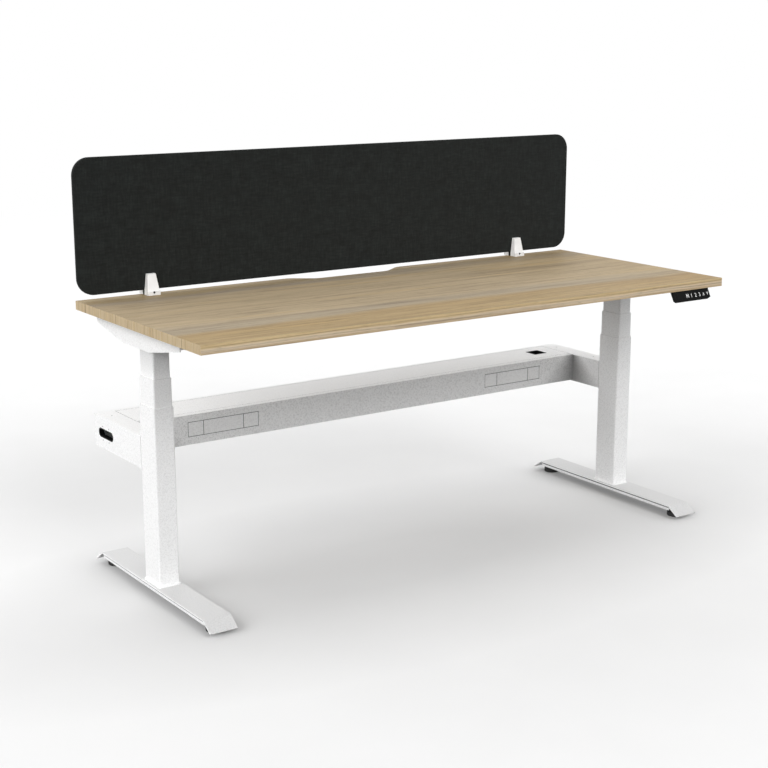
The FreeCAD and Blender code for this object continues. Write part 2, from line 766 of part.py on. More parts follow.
def build_drives():
    """The inline motor, its drive screw, the hollow screw and the towers that hold the nuts."""
    motors = []
    towers = []
    for name, side in SIDES:
        x = f"{side} * {COLUMN_X}"
        y = "column_setback"
        tower = pipe("base_tower_radius", "base_tower_wall", "base_tower_length", (x, y, TUBE_BOTTOM))
        nut_wall = "(spindle_nut_radius - hollow_screw_radius - screw_play)"
        nut = pipe("spindle_nut_radius", nut_wall, "spindle_nut_length", (x, y, BASE_TOWER_TOP))
        towers.append(fused([tower, nut]))

        gearbox = rod("gearbox_radius", "gearbox_length", (x, y, MOTOR_BOTTOM))
        motor = rod("motor_radius", "motor_length", (x, y, f"{MOTOR_BOTTOM} + gearbox_length"))
        seat_radius = "drive_screw_radius + screw_play"
        seat = rod(seat_radius, "drive_screw_grip + overrun", (x, y, f"{MOTOR_BOTTOM} - overrun"))
        motors.append(carved(fused([gearbox, motor]), [seat]))

        screw_top = f"({MOTOR_BOTTOM} + drive_screw_grip)"
        screw = rod("drive_screw_radius", "drive_screw_length", (x, y, f"{screw_top} - drive_screw_length"))
        keep(f"{name}_drive_screw", screw)

        hollow_top = f"({MIDDLE_HEAD_BOTTOM} + hollow_screw_seat)"
        hollow_wall = "(hollow_screw_radius - drive_screw_radius - bore_play)"
        hollow_start = f"({hollow_top} - hollow_screw_length)"
        hollow = pipe("hollow_screw_radius", hollow_wall, "hollow_screw_length", (x, y, hollow_start))
        keep(f"{name}_hollow_screw", hollow)

        plate_loops = [
            ("rounded", "0", "0", MIDDLE_WIDTH, MIDDLE_DEPTH, "tube_round"),
            ("circle", "0", "0", "(base_tower_radius + tower_clearance)"),
        ]
        plate_bottom = f"{MIDDLE_BOTTOM} - middle_plate"
        plate = prism("xy", plate_loops, "middle_plate", (x, y, plate_bottom))
        tube_length = f"({MIDDLE_HEAD_BOTTOM} - {MIDDLE_BOTTOM})"
        tube = pipe("middle_tower_radius", "middle_tower_wall", tube_length, (x, y, MIDDLE_BOTTOM))
        head = rod("middle_tower_radius", "tower_head_height", (x, y, MIDDLE_HEAD_BOTTOM))
        socket_radius = "hollow_screw_radius + screw_play"
        socket_start = f"{MIDDLE_HEAD_BOTTOM} - overrun"
        socket = rod(socket_radius, "hollow_screw_seat + overrun + screw_play", (x, y, socket_start))
        thread = drill(seat_radius, "tower_head_height", (x, y, MIDDLE_HEAD_BOTTOM))
        head = carved(head, [fused([socket, thread])])
        keep(f"{name}_middle_tower", fused([plate, tube, head]))
    keep("spindle_base_towers", grouped(towers))
    keep("column_motors", grouped(motors))


# Cable beam and its arms
def outer_wall_x(side):
    """Where an arm's outer wall starts along X."""
    outer_face = f"({side} * ({COLUMN_X} + outer_tube_width / 2))"
    return f"({outer_face} - duct_sheet)" if side > 0 else outer_face


def inner_wall_x(side):
    """Where an arm's inner wall, against the beam, starts along X."""
    inner_face = f"({side} * {ARM_INNER_X})"
    return inner_face if side > 0 else f"({inner_face} - duct_sheet)"


def build_arm_duct(name, side):
    """The sheet-metal arm that carries the beam behind a column, open on top."""
    length = f"(beam_rear_y - {COLUMN_REAR})"
    left = f"({side} * {COLUMN_X} - outer_tube_width / 2)"
    height = "(arm_duct_depth - duct_sheet)"
    shell = block(("outer_tube_width", length, height), (left, COLUMN_REAR, ARM_DUCT_BOTTOM))
    inner_width = "(outer_tube_width - 2 * duct_sheet)"
    hollow = block(
        (inner_width, f"({length} - 2 * duct_sheet)", height),
        (f"{left} + duct_sheet", f"{COLUMN_REAR} + duct_sheet", f"{ARM_DUCT_BOTTOM} + duct_sheet"),
    )
    window = block(
        (
            "(duct_sheet + 2 * overrun)",
            "(beam_rear_y - beam_front_y - 2 * duct_window_margin)",
            "(beam_duct_depth - 2 * duct_window_margin)",
        ),
        (
            f"{inner_wall_x(side)} - overrun",
            "(beam_front_y + duct_window_margin)",
            f"({BEAM_BOTTOM} + duct_window_margin)",
        ),
    )
    port_round = "(port_height / 2 - bore_play)"
    port = prism(
        "yz",
        [("rounded", "port_y", "port_z", "port_length", "port_height", port_round)],
        "(duct_sheet + 2 * overrun)",
        (f"{outer_wall_x(side)} - overrun", "0", "0"),
    )
    cuts = [window, port]
    for y, z in port_screw_places():
        cuts.append(drill("small_screw_radius", "duct_sheet", (outer_wall_x(side), y, z), "x"))
    straps = []
    strap_z = f"({LEDGE_TOP} - duct_sheet)"
    for y in ARM_COVER_SCREWS:
        strap_corner = (f"{left} + duct_sheet", f"{y} - arm_strap_depth / 2", strap_z)
        straps.append(block((inner_width, "arm_strap_depth", "duct_sheet"), strap_corner))
        cuts.append(drill("small_screw_radius", "duct_sheet", (f"{side} * {COLUMN_X}", y, strap_z)))
    keep(f"{name}_arm_trough", carved(fused([carved(shell, [hollow])] + straps), cuts))


def port_screw_places():
    """The four small screws round an oval port, as pairs of y and z."""
    return [
        (f"(port_y + {along} * port_screw_spread / 2)", f"(port_z + {up} * port_screw_spread / 2)")
        for along in (-1, 1)
        for up in (-1, 1)
    ]


OUTLET_X = f"({COLUMN_X} - outlet_inset)"
LEDGE_UNDER = f"({LEDGE_TOP} - duct_sheet)"
FRONT_STEP = "(beam_front_y + beam_front_flange)"
REAR_STEP = "(beam_rear_y - beam_rear_flange)"


def build_beam_trough():
    """The folded trough: a deep channel with a flange and a cover ledge along both edges."""
    front = "beam_front_y"
    rear = "beam_rear_y"
    top = "beam_top_height"
    front_ledge = f"({FRONT_STEP} + cover_ledge)"
    rear_ledge = f"({REAR_STEP} - cover_ledge)"
    outline = [
        (front, BEAM_BOTTOM),
        (rear, BEAM_BOTTOM),
        (rear, top),
        (REAR_STEP, top),
        (REAR_STEP, LEDGE_TOP),
        (rear_ledge, LEDGE_TOP),
        (rear_ledge, LEDGE_UNDER),
        (f"({REAR_STEP} + duct_sheet)", LEDGE_UNDER),
        (f"({REAR_STEP} + duct_sheet)", LEDGE_TOP),
        (f"({rear} - duct_sheet)", LEDGE_TOP),
        (f"({rear} - duct_sheet)", f"({BEAM_BOTTOM} + duct_sheet)"),
        (f"({front} + duct_sheet)", f"({BEAM_BOTTOM} + duct_sheet)"),
        (f"({front} + duct_sheet)", LEDGE_TOP),
        (f"({FRONT_STEP} - duct_sheet)", LEDGE_TOP),
        (f"({FRONT_STEP} - duct_sheet)", LEDGE_UNDER),
        (front_ledge, LEDGE_UNDER),
        (front_ledge, LEDGE_TOP),
        (FRONT_STEP, LEDGE_TOP),
        (FRONT_STEP, top),
        (front, top),
    ]
    corner = (f"-{ARM_INNER_X}", "0", "0")
    trough = prism("yz", [("polygon", outline)], f"(2 * {ARM_INNER_X})", corner)
    straps = []
    cuts = []
    for name, side in SIDES:
        strap_x = f"({side} * {ARM_INNER_X} - {'strap_width' if side > 0 else '0'})"
        strap_y = f"({front_ledge} - overrun)"
        strap_depth = f"({rear_ledge} - {front_ledge} + 2 * overrun)"
        straps.append(
            block(("strap_width", strap_depth, "duct_sheet"), (strap_x, strap_y, LEDGE_UNDER))
        )
        cuts.append(
            block(
                (
                    "(outlet_width + 2 * outlet_gap)",
                    "(duct_sheet + 2 * overrun)",
                    "(outlet_height + 2 * outlet_gap)",
                ),
                (
                    f"({side} * {OUTLET_X} - outlet_width / 2 - outlet_gap)",
                    f"({front} - overrun)",
                    "(outlet_z - outlet_height / 2 - outlet_gap)",
                ),
            )
        )
    keep("beam_trough", carved(fused([trough] + straps), cuts))


def cover_screw(x, y):
    """A small screw down through a cover and the sheet under it."""
    shank = rod("small_screw_radius", "(2 * duct_sheet)", (x, y, LEDGE_UNDER))
    head_start = (x, y, "beam_top_height")
    return fused([shank, rod("small_screw_head_radius", "small_screw_head_height", head_start)])


def build_covers():
    """The beam cover with its cable hole, the arm covers and all the small screws."""
    screws = []
    hole_x = f"({COLUMN_X} - cable_hole_inset)"
    hole_corner = (f"{hole_x} - cable_hole_size / 2", "cable_hole_y - cable_hole_size / 2")
    hole_size = ("cable_hole_size", "cable_hole_size", "(duct_sheet + 2 * overrun)")
    cover_cuts = [block(hole_size, hole_corner + (f"{LEDGE_TOP} - overrun",))]
    cover_size = (
        f"(2 * {ARM_INNER_X} - 2 * cover_play)",
        f"({REAR_STEP} - {FRONT_STEP} - 2 * cover_play)",
        "duct_sheet",
    )
    cover_corner = (f"-{ARM_INNER_X} + cover_play", f"{FRONT_STEP} + cover_play", LEDGE_TOP)
    keep("beam_cover", carved(block(cover_size, cover_corner), cover_cuts))
    build_collar(hole_corner)

    covers = []
    for name, side in SIDES:
        cover_holes = []
        for y in ARM_COVER_SCREWS:
            x = f"{side} * {COLUMN_X}"
            cover_holes.append(drill("small_screw_radius", "duct_sheet", (x, y, LEDGE_TOP)))
            screws.append(cover_screw(x, y))
        size = ("outer_tube_width", f"(beam_rear_y - {COLUMN_REAR})", "duct_sheet")
        corner = (f"({side} * {COLUMN_X} - outer_tube_width / 2)", COLUMN_REAR, LEDGE_TOP)
        covers.append(carved(block(size, corner), cover_holes))
        for y, z in port_screw_places():
            wall = outer_wall_x(side)
            depth = "(duct_sheet + port_flange)"
            shank_x = f"({wall} - port_flange)" if side > 0 else wall
            head_x = f"({wall} + duct_sheet)" if side > 0 else f"({wall} - small_screw_head_height)"
            shank = rod("small_screw_radius", depth, (shank_x, y, z), "x")
            head = rod("small_screw_head_radius", "small_screw_head_height", (head_x, y, z), "x")
            screws.append(fused([shank, head]))
    keep("arm_covers", grouped(covers))
    keep("small_screws", grouped(screws))


def build_collar(hole_corner):
    """The black collar that lines the cable hole."""
    x, y = hole_corner
    bottom = "(beam_top_height - collar_depth)"
    sleeve = block(("cable_hole_size", "cable_hole_size", "collar_depth"), (x, y, bottom))
    rim_size = "(cable_hole_size + 2 * collar_rim)"
    rim_corner = (f"{x} - collar_rim", f"{y} - collar_rim", "beam_top_height")
    rim = block((rim_size, rim_size, "collar_rim_height"), rim_corner)
    bore_size = "(cable_hole_size - 2 * collar_wall)"
    bore_depth = "(collar_depth + collar_rim_height + 2 * overrun)"
    bore_corner = (f"{x} + collar_wall", f"{y} + collar_wall", f"{bottom} - overrun")
    bore = block((bore_size, bore_size, bore_depth), bore_corner)
    keep("cable_hole_collar", carved(fused([sleeve, rim]), [bore]))


def build_outlets():
    """Blanking plates in the beam's front, each grooved into three break-out fields."""
    blanks = []
    for name, side in SIDES:
        left = f"({side} * {OUTLET_X} - outlet_width / 2)"
        bottom = "(outlet_z - outlet_height / 2)"
        face = block(("outlet_width", "duct_sheet", "outlet_height"), (left, "beam_front_y", bottom))
        back = block(
            ("(outlet_width + 2 * outlet_lip)", "outlet_backing", "(outlet_height + 2 * outlet_lip)"),
            (f"{left} - outlet_lip", "beam_front_y + duct_sheet", f"{bottom} - outlet_lip"),
        )
        grooves = []
        for start in ("outlet_end_width", "(outlet_width - outlet_end_width - outlet_groove)"):
            grooves.append(
                block(
                    ("outlet_groove", "(outlet_groove_depth + overrun)", "(outlet_height + 2 * overrun)"),
                    (f"{left} + {start}", "beam_front_y - overrun", f"{bottom} - overrun"),
                )
            )
        blanks.append(carved(fused([face, back]), grooves))
    keep("outlet_blanks", grouped(blanks))


def build_ports():
    """The black oval inserts that line the cable ports."""
    inside = (
        "rounded",
        "port_y",
        "port_z",
        "(port_length - 2 * port_wall)",
        "(port_height - 2 * port_wall)",
        "(port_height / 2 - port_wall - bore_play)",
    )
    outside = (
        "rounded",
        "port_y",
        "port_z",
        "(port_length - 2 * bore_play)",
        "(port_height - 2 * bore_play)",
        "(port_height / 2 - 2 * bore_play)",
    )
    flange = (
        "rounded",
        "port_y",
        "port_z",
        "(port_length + port_flange_margin)",
        "(port_screw_spread + port_flange_margin)",
        "(port_flange_margin / 2)",
    )
    inserts = []
    for name, side in SIDES:
        wall = outer_wall_x(side)
        sleeve_x = f"({wall} + duct_sheet - port_depth)" if side > 0 else wall
        flange_x = f"({wall} - port_flange)" if side > 0 else f"({wall} + duct_sheet)"
        sleeve = prism("yz", [outside, inside], "port_depth", (sleeve_x, "0", "0"))
        plate = prism("yz", [flange, inside], "port_flange", (flange_x, "0", "0"))
        holes = [
            drill("small_screw_radius", "port_flange", (flange_x, y, z), "x")
            for y, z in port_screw_places()
        ]
        inserts.append(carved(fused([sleeve, plate]), holes))
    keep("port_inserts", grouped(inserts))


# Support frame under the worktop
def build_side_arm(name, side):
    """The folded support arm, deep over the column and drawn in towards both ends."""
    top = "side_arm_height"
    end = "(side_arm_height - side_arm_end_depth)"
    outline = [
        ("-side_arm_flat_front", "0"),
        ("side_arm_flat_rear", "0"),
        ("side_arm_rear", end),
        ("side_arm_rear", top),
        ("-side_arm_front", top),
        ("-side_arm_front", end),
    ]
    left = f"({side} * {COLUMN_X} - outer_tube_width / 2)"
    blank = prism("yz", [("polygon", outline)], "outer_tube_width", (left, "column_setback", ARM_BOTTOM))
    hollow = block(
        (
            "(outer_tube_width - 2 * side_arm_sheet)",
            "(side_arm_front + side_arm_rear + 2 * overrun)",
            "(side_arm_height - side_arm_sheet + overrun)",
        ),
        (
            f"{left} + side_arm_sheet",
            "column_setback - side_arm_front - overrun",
            f"{ARM_BOTTOM} - overrun",
        ),
    )
    holes = []
    for x, y, grip in frame_screw_places():
        if grip == "side_arm_sheet" and x.startswith(f"{side} "):
            start = (x, y, f"{UNDERSIDE} - side_arm_sheet")
            holes.append(drill("frame_screw_radius + thread_play", "side_arm_sheet", start))
    keep(f"{name}_side_arm", carved(blank, [hollow] + holes))


def build_crossbars():
    """The two rectangular tubes that tie the support arms together."""
    for label, row in (("front_crossbar", -1), ("rear_crossbar", 1)):
        y = f"(column_setback + {row} * crossbar_spread / 2 - crossbar_width / 2)"
        z = f"({UNDERSIDE} - crossbar_height)"
        size = (f"(2 * {ARM_INNER_X})", "crossbar_width", "crossbar_height")
        bar = block(size, (f"-{ARM_INNER_X}", y, z))
        hollow = block(
            (
                f"(2 * {ARM_INNER_X} + 2 * overrun)",
                "(crossbar_width - 2 * crossbar_wall)",
                "(crossbar_height - 2 * crossbar_wall)",
            ),
            (f"-{ARM_INNER_X} - overrun", f"{y} + crossbar_wall", f"{z} + crossbar_wall"),
        )
        holes = []
        for x, screw_y, grip in frame_screw_places():
            if grip == "crossbar_height" and f"{row} * crossbar_spread" in screw_y:
                radius = "frame_screw_radius + thread_play"
                holes.append(drill(radius, "crossbar_height", (x, screw_y, z)))
        keep(label, carved(bar, [hollow] + holes))


def build_head_plates():
    """The plates that join the inner tubes to the support arms."""
    plates = []
    for name, side in SIDES:
        width = "(outer_tube_width - 2 * side_arm_sheet)"
        front = "column_setback - head_plate_length / 2"
        corner = (f"{side} * {COLUMN_X} - {width} / 2", front, HEAD_UNDERSIDE)
        plates.append(block((width, "head_plate_length", "head_plate_thickness"), corner))
    keep("column_head_plates", grouped(plates))


def build_control_box():
    """The control box with its mounting ears and a row of sockets."""
    bottom = f"({UNDERSIDE} - control_box_height)"
    loop = ("rounded", "0", "0", "control_box_length", "control_box_width", "control_box_round")
    housing = prism("xy", [loop], "control_box_height", ("0", "column_setback", bottom))
    ear_length = "(control_box_length + 2 * control_ear)"
    ears = block(
        (ear_length, "(control_box_width / 2)", "control_ear_thickness"),
        (
            f"-{ear_length} / 2",
            "column_setback - control_box_width / 4",
            f"{UNDERSIDE} - control_ear_thickness",
        ),
    )
    sockets = []
    for step in (-2, -1, 0, 1, 2):
        x = f"({step} * socket_pitch - socket_width / 2)"
        y = "(column_setback - control_box_width / 2 - overrun)"
        z = f"({bottom} + control_box_height / 2 - socket_height / 2)"
        sockets.append(block(("socket_width", "(socket_depth + overrun)", "socket_height"), (x, y, z)))
    keep("control_box", carved(fused([housing, ears]), sockets))


# Hand control
FACE_RUN = "(handset_overhang + handset_setback)"
FACE_LENGTH = f"sqrt({FACE_RUN} * {FACE_RUN} + handset_height * handset_height)"
FACE_TILT = f"atan({FACE_RUN} / handset_height)"
HANDSET_LEFT = "(worktop_length / 2 - handset_inset - handset_width / 2)"
FACE_TOP_Y = "(-worktop_depth / 2 + handset_setback)"
UPRIGHT = FreeCAD.Rotation(FreeCAD.Vector(1, 0, 0), 90)


def on_face(loops, start_depth, length):
    """A body drawn on the sloping face: x along the desk, y up the slope, z out of the face."""
    y = f"{FACE_TOP_Y} + {start_depth} * cos({FACE_TILT})"
    z = f"{UNDERSIDE} - {start_depth} * sin({FACE_TILT})"
    body = prism("xy", loops, length, (HANDSET_LEFT, y, z), UPRIGHT)
    tie(body, "Placement.Rotation.Angle", f"90 deg - {FACE_TILT}")
    return body


def button_loop(index, margin):
    """The outline of one button on the face, with a margin round it."""
    x = f"(button_first + {index} * button_pitch)"
    y = f"(-{FACE_LENGTH} / 2)"
    width = f"(button_width + 2 * {margin})"
    height = f"(button_height + 2 * {margin})"
    return ("rounded", x, y, width, height, f"(button_round + {margin})")


BUTTONS = ("memory", "one", "two", "three", "up", "down")
ALONG_SLOPE = FreeCAD.Rotation(FreeCAD.Vector(-1, 0, 0), 90)


def handset_cuts():
    """Wedges that narrow the housing behind its face, and its two cut corners."""
    right = "handset_width"
    step = "(overrun * handset_corner_run / handset_corner_rise)"
    drop = "(overrun * handset_corner_rise / handset_corner_run)"
    tapers = (
        [
            ("-overrun", "(handset_end_land - overrun)"),
            ("(handset_depth - handset_end_land)", "handset_depth"),
            ("-overrun", "handset_depth"),
        ],
        [
            (f"({right} + overrun)", "(handset_end_land - overrun)"),
            (f"({right} - handset_depth + handset_end_land)", "handset_depth"),
            (f"({right} + overrun)", "handset_depth"),
        ],
    )
    corners = (
        [
            ("-overrun", f"(-handset_corner_rise - {drop})"),
            (f"(handset_corner_run + {step})", "overrun"),
            ("-overrun", "overrun"),
        ],
        [
            (f"({right} + overrun)", f"(handset_corner_rise + {drop} - handset_height)"),
            (f"({right} - handset_corner_run - {step})", "(-handset_height - overrun)"),
            (f"({right} + overrun)", "(-handset_height - overrun)"),
        ],
    )
    cuts = []
    for points in tapers:
        y = f"{FACE_TOP_Y} - ({FACE_LENGTH} + overrun) * sin({FACE_TILT})"
        z = f"{UNDERSIDE} - ({FACE_LENGTH} + overrun) * cos({FACE_TILT})"
        length = f"({FACE_LENGTH} + handset_depth)"
        cut = prism("xy", [("polygon", points)], length, (HANDSET_LEFT, y, z), ALONG_SLOPE)
        tie(cut, "Placement.Rotation.Angle", FACE_TILT)
        cuts.append(cut)
    for points in corners:
        corner = (HANDSET_LEFT, "-worktop_depth / 2 - handset_overhang - overrun", UNDERSIDE)
        length = "(handset_depth + 2 * overrun)"
        cuts.append(prism("xz", [("polygon", points)], length, corner))
    return cuts


def build_handset():
    """The wedge-shaped housing, the display window and the six buttons."""
    front = "(-handset_overhang)"
    outline = [
        ("handset_setback", "0"),
        (front, "-handset_height"),
        (f"({front} + handset_depth)", "-handset_back_height"),
        (f"({front} + handset_depth)", "0"),
    ]
    corner = (HANDSET_LEFT, "-worktop_depth / 2", UNDERSIDE)
    housing = prism("yz", [("polygon", outline)], "handset_width", corner)
    pockets = handset_cuts()
    depth = "(button_depth + button_travel_room)"
    for index, name in enumerate(BUTTONS):
        pockets.append(on_face([button_loop(index, "button_play")], depth, f"({depth} + overrun)"))
        keep(f"button_{name}", on_face([button_loop(index, "0")], "button_depth", "button_depth"))
    display = (
        "rounded",
        "(display_start + display_width / 2)",
        f"(-{FACE_LENGTH} / 2)",
        "display_width",
        "display_height",
        "button_round",
    )
    pockets.append(on_face([display], "display_depth", "(display_depth + overrun)"))
    keep("handset_display", on_face([display], "display_depth", "display_depth"))
    keep("handset_housing", carved(housing, pockets))


# Screen and brackets
def build_screen():
    """The upholstered screen panel with round corners."""
    loop = (
        "rounded",
        "0",
        f"({SCREEN_BOTTOM} + screen_height / 2)",
        "screen_length",
        "screen_height",
        "screen_round",
    )
    keep("screen_panel", prism("xz", [loop], "screen_thickness", ("0", SCREEN_FRONT, "0")))


def jaw(x, y, depth, turn):
    """Half a bracket: a square base with a tapered, rounded upright on it."""
    body = document.addObject("PartDesign::Body", "Body")
    base = body.newObject("PartDesign::AdditiveWedge", "Base")
    upright = body.newObject("PartDesign::AdditiveWedge", "Upright")
    shoulder_depth = f"({depth} - bracket_shoulder_inset)"
    spans = {
        base: ("bracket_base_width", depth, "bracket_base_width", depth, "0", "bracket_base_height"),
        upright: (
            "bracket_shoulder_width",
            shoulder_depth,
            "bracket_top_width",
            "bracket_top_depth",
            "bracket_base_height",
            "bracket_height",
        ),
    }
    for wedge, (width, deep, end_width, end_deep, low, high) in spans.items():
        for prop, formula in (
            ("Xmin", f"-{width} / 2"),
            ("Xmax", f"{width} / 2"),
            ("X2min", f"-{end_width} / 2"),
            ("X2max", f"{end_width} / 2"),
            ("Ymin", low),
            ("Ymax", high),
            ("Zmin", "0"),
            ("Zmax", deep),
            ("Z2min", "0"),
            ("Z2max", end_deep),
        ):
            tie(wedge, prop, formula)
    document.recompute()
    rise = measure("bracket_height - bracket_base_height")
    names = []
    for number, edge in enumerate(upright.Shape.Edges, start=1):
        first, last = edge.firstVertex().Point, edge.lastVertex().Point
        outer = min(first.z, last.z) > SAME_PLACE
        long_edge = abs(first.y - last.y) > rise / 2
        top_edge = min(first.y, last.y) > rise and abs(first.z - last.z) < SAME_PLACE
        if outer and (long_edge or top_edge):
            names.append("Edge%d" % number)
    fillet = body.newObject("PartDesign::Fillet", "Round")
    fillet.Base = (upright, names)
    tie(fillet, "Radius", "bracket_round")
    return place(body, (x, y, WORKTOP_TOP), turn)


FACING_FRONT = FreeCAD.Rotation(0, 0, 90)
FACING_REAR = FreeCAD.Rotation(180, 0, 90)


def build_brackets():
    """The clamps that hold the screen: two jaws, a spacer, a cross screw and a clamp screw."""
    fronts, rears, spacers, cross_screws, clamp_screws = [], [], [], [], []
    for name, side in SIDES:
        x = f"{side} * (worktop_length / 2 - bracket_inset)"
        screw_z = f"({WORKTOP_TOP} + bracket_screw_height)"
        front_face = f"({SCREEN_FRONT} - bracket_front_depth)"
        hole = "bracket_screw_radius + thread_play"
        front_jaw = jaw(x, SCREEN_FRONT, "bracket_front_depth", FACING_FRONT)
        front_hole = drill(hole, "bracket_front_depth", (x, front_face, screw_z), "y")
        fronts.append(carved(front_jaw, [front_hole]))

        leg_y = f"({WORKTOP_REAR} + clamp_leg_play)"
        hook_z = f"({UNDERSIDE} - clamp_drop - clamp_leg)"
        leg_height = f"({WORKTOP_TOP} + bracket_base_height / 2 - {hook_z})"
        clamp_x = f"{x} - clamp_width / 2"
        leg = block(("clamp_width", "clamp_leg", leg_height), (clamp_x, leg_y, hook_z))
        hook_y = f"({leg_y} + clamp_leg - clamp_reach)"
        hook = block(("clamp_width", "clamp_reach", "clamp_leg"), (clamp_x, hook_y, hook_z))
        clamp_y = f"({leg_y} - clamp_screw_inset)"
        clamp_hole = drill("clamp_screw_radius + thread_play", "clamp_leg", (x, clamp_y, hook_z))
        rear_jaw = jaw(x, SCREEN_REAR, "bracket_rear_depth", FACING_REAR)
        bore_start = (x, f"{SCREEN_REAR} - overrun", screw_z)
        rear_bore = rod(hole, "(bracket_rear_depth / 2 + overrun)", bore_start, "y")
        rears.append(carved(fused([rear_jaw, leg, hook]), [rear_bore, clamp_hole]))

        spacer_size = ("spacer_width", "screen_thickness", "screen_gap")
        spacer = block(spacer_size, (f"{x} - spacer_width / 2", SCREEN_FRONT, WORKTOP_TOP))
        spacer_hole = drill(hole, "screen_thickness", (x, SCREEN_FRONT, screw_z), "y")
        spacers.append(carved(spacer, [spacer_hole]))

        screw_start = f"({front_face} + bracket_screw_sink)"
        screw_length = f"({SCREEN_REAR} + bracket_rear_depth / 2 - {screw_start} - overrun)"
        cross_screws.append(rod("bracket_screw_radius", screw_length, (x, screw_start, screw_z), "y"))

        pad_z = f"({UNDERSIDE} - clamp_pad_height)"
        knob_z = f"({hook_z} - clamp_knob_gap - clamp_knob_height)"
        pad = rod("clamp_pad_radius", "clamp_pad_height", (x, clamp_y, pad_z))
        stem = rod("clamp_screw_radius", f"({pad_z} - {knob_z})", (x, clamp_y, knob_z))
        knob = rod("clamp_knob_radius", "clamp_knob_height", (x, clamp_y, knob_z))
        clamp_screws.append(fused([pad, stem, knob]))
    keep("bracket_fronts", grouped(fronts))
    keep("bracket_rears", grouped(rears))
    keep("bracket_spacers", grouped(spacers))
    keep("bracket_screws", grouped(cross_screws))
    keep("clamp_screws", grouped(clamp_screws))


build_worktop()
channels = []
for side_name, side_sign in SIDES:
    build_foot(side_name, side_sign)
    channels.append(build_channel(side_sign))
    for end_name, end_sign in (("front", -1), ("rear", 1)):
        build_levelling_foot(f"{side_name}_{end_name}_levelling_foot", side_sign, end_sign)
    build_arm_duct(side_name, side_sign)
    build_side_arm(side_name, side_sign)
keep("foot_channels", grouped(channels))
build_base_plates()
build_columns()
build_drives()
build_beam_trough()
build_covers()
build_outlets()
build_ports()
build_crossbars()
build_head_plates()
build_control_box()
build_handset()
build_screen()
build_brackets()
document.recompute()

# Every object has to be sound before anything is written
faults = [item.Label for item in document.Objects if {"Invalid", "Error"} & set(item.State)]
for part in parts:
    if part.Shape.isNull() or not part.Shape.isValid() or not part.Shape.Solids:
        faults.append(part.Label)
if faults:
    raise RuntimeError("These objects failed: " + ", ".join(faults))

os.makedirs("parts", exist_ok=True)
for part in parts:
    part.Shape.exportStep("parts/%s.step" % part.Label)
print("%d sub-parts, %d solids" % (len(parts), sum(len(part.Shape.Solids) for part in parts)))
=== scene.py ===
"""The looks of a height-adjustable office desk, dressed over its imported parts.

Metres, +Z up, +Y to the rear where the screen stands, +X to the user's right.
"""
import json
import math

import bmesh
import bpy
from mathutils import Matrix, Vector


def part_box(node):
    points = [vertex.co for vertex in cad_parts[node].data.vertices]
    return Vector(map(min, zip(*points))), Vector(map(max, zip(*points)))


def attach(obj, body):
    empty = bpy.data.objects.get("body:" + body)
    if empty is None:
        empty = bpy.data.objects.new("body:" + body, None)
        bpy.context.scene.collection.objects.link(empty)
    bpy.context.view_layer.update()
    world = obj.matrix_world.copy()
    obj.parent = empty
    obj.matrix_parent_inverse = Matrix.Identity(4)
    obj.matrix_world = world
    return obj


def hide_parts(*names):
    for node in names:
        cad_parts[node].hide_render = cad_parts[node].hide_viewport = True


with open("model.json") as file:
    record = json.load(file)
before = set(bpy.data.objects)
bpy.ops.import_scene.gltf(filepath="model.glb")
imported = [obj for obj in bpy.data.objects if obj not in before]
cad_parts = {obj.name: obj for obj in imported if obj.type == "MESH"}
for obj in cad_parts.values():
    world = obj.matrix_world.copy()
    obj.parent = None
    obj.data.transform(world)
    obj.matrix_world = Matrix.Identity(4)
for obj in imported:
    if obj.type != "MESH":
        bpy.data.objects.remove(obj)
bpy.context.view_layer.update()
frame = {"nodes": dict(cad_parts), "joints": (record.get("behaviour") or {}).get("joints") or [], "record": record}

MM = 0.001
SIDES = ("left", "right")
WELD_GAP = 0.01 * MM

# Camera, as a place, two angles in degrees and a lens on a sensor in millimetres
CAMERA_PLACE = (-2.5201, -3.4994, 1.5054)
CAMERA_YAW = 34.61
CAMERA_PITCH = 13.26
CAMERA_LENS = 69.48
CAMERA_SENSOR = 36.0


def make_camera():
    """The camera, turned from +Y towards +X by its yaw and down by its pitch."""
    data = bpy.data.cameras.new("camera")
    data.lens = CAMERA_LENS
    data.sensor_width = CAMERA_SENSOR
    camera = bpy.data.objects.new("camera", data)
    camera.location = CAMERA_PLACE
    turn = (math.radians(90 - CAMERA_PITCH), 0, math.radians(-CAMERA_YAW))
    camera.rotation_euler = turn
    bpy.context.scene.collection.objects.link(camera)
    bpy.context.scene.camera = camera


make_camera()


# Materials
def srgb(red, green, blue):
    """A colour given as it shows on a screen, from 0 to 255, as linear values."""
    def linear(value):
        value /= 255
        return value / 12.92 if value <= 0.04045 else ((value + 0.055) / 1.055) ** 2.4

    return (linear(red), linear(green), linear(blue), 1.0)


def grey(level):
    """A neutral colour from one screen level."""
    return srgb(level, level, level)


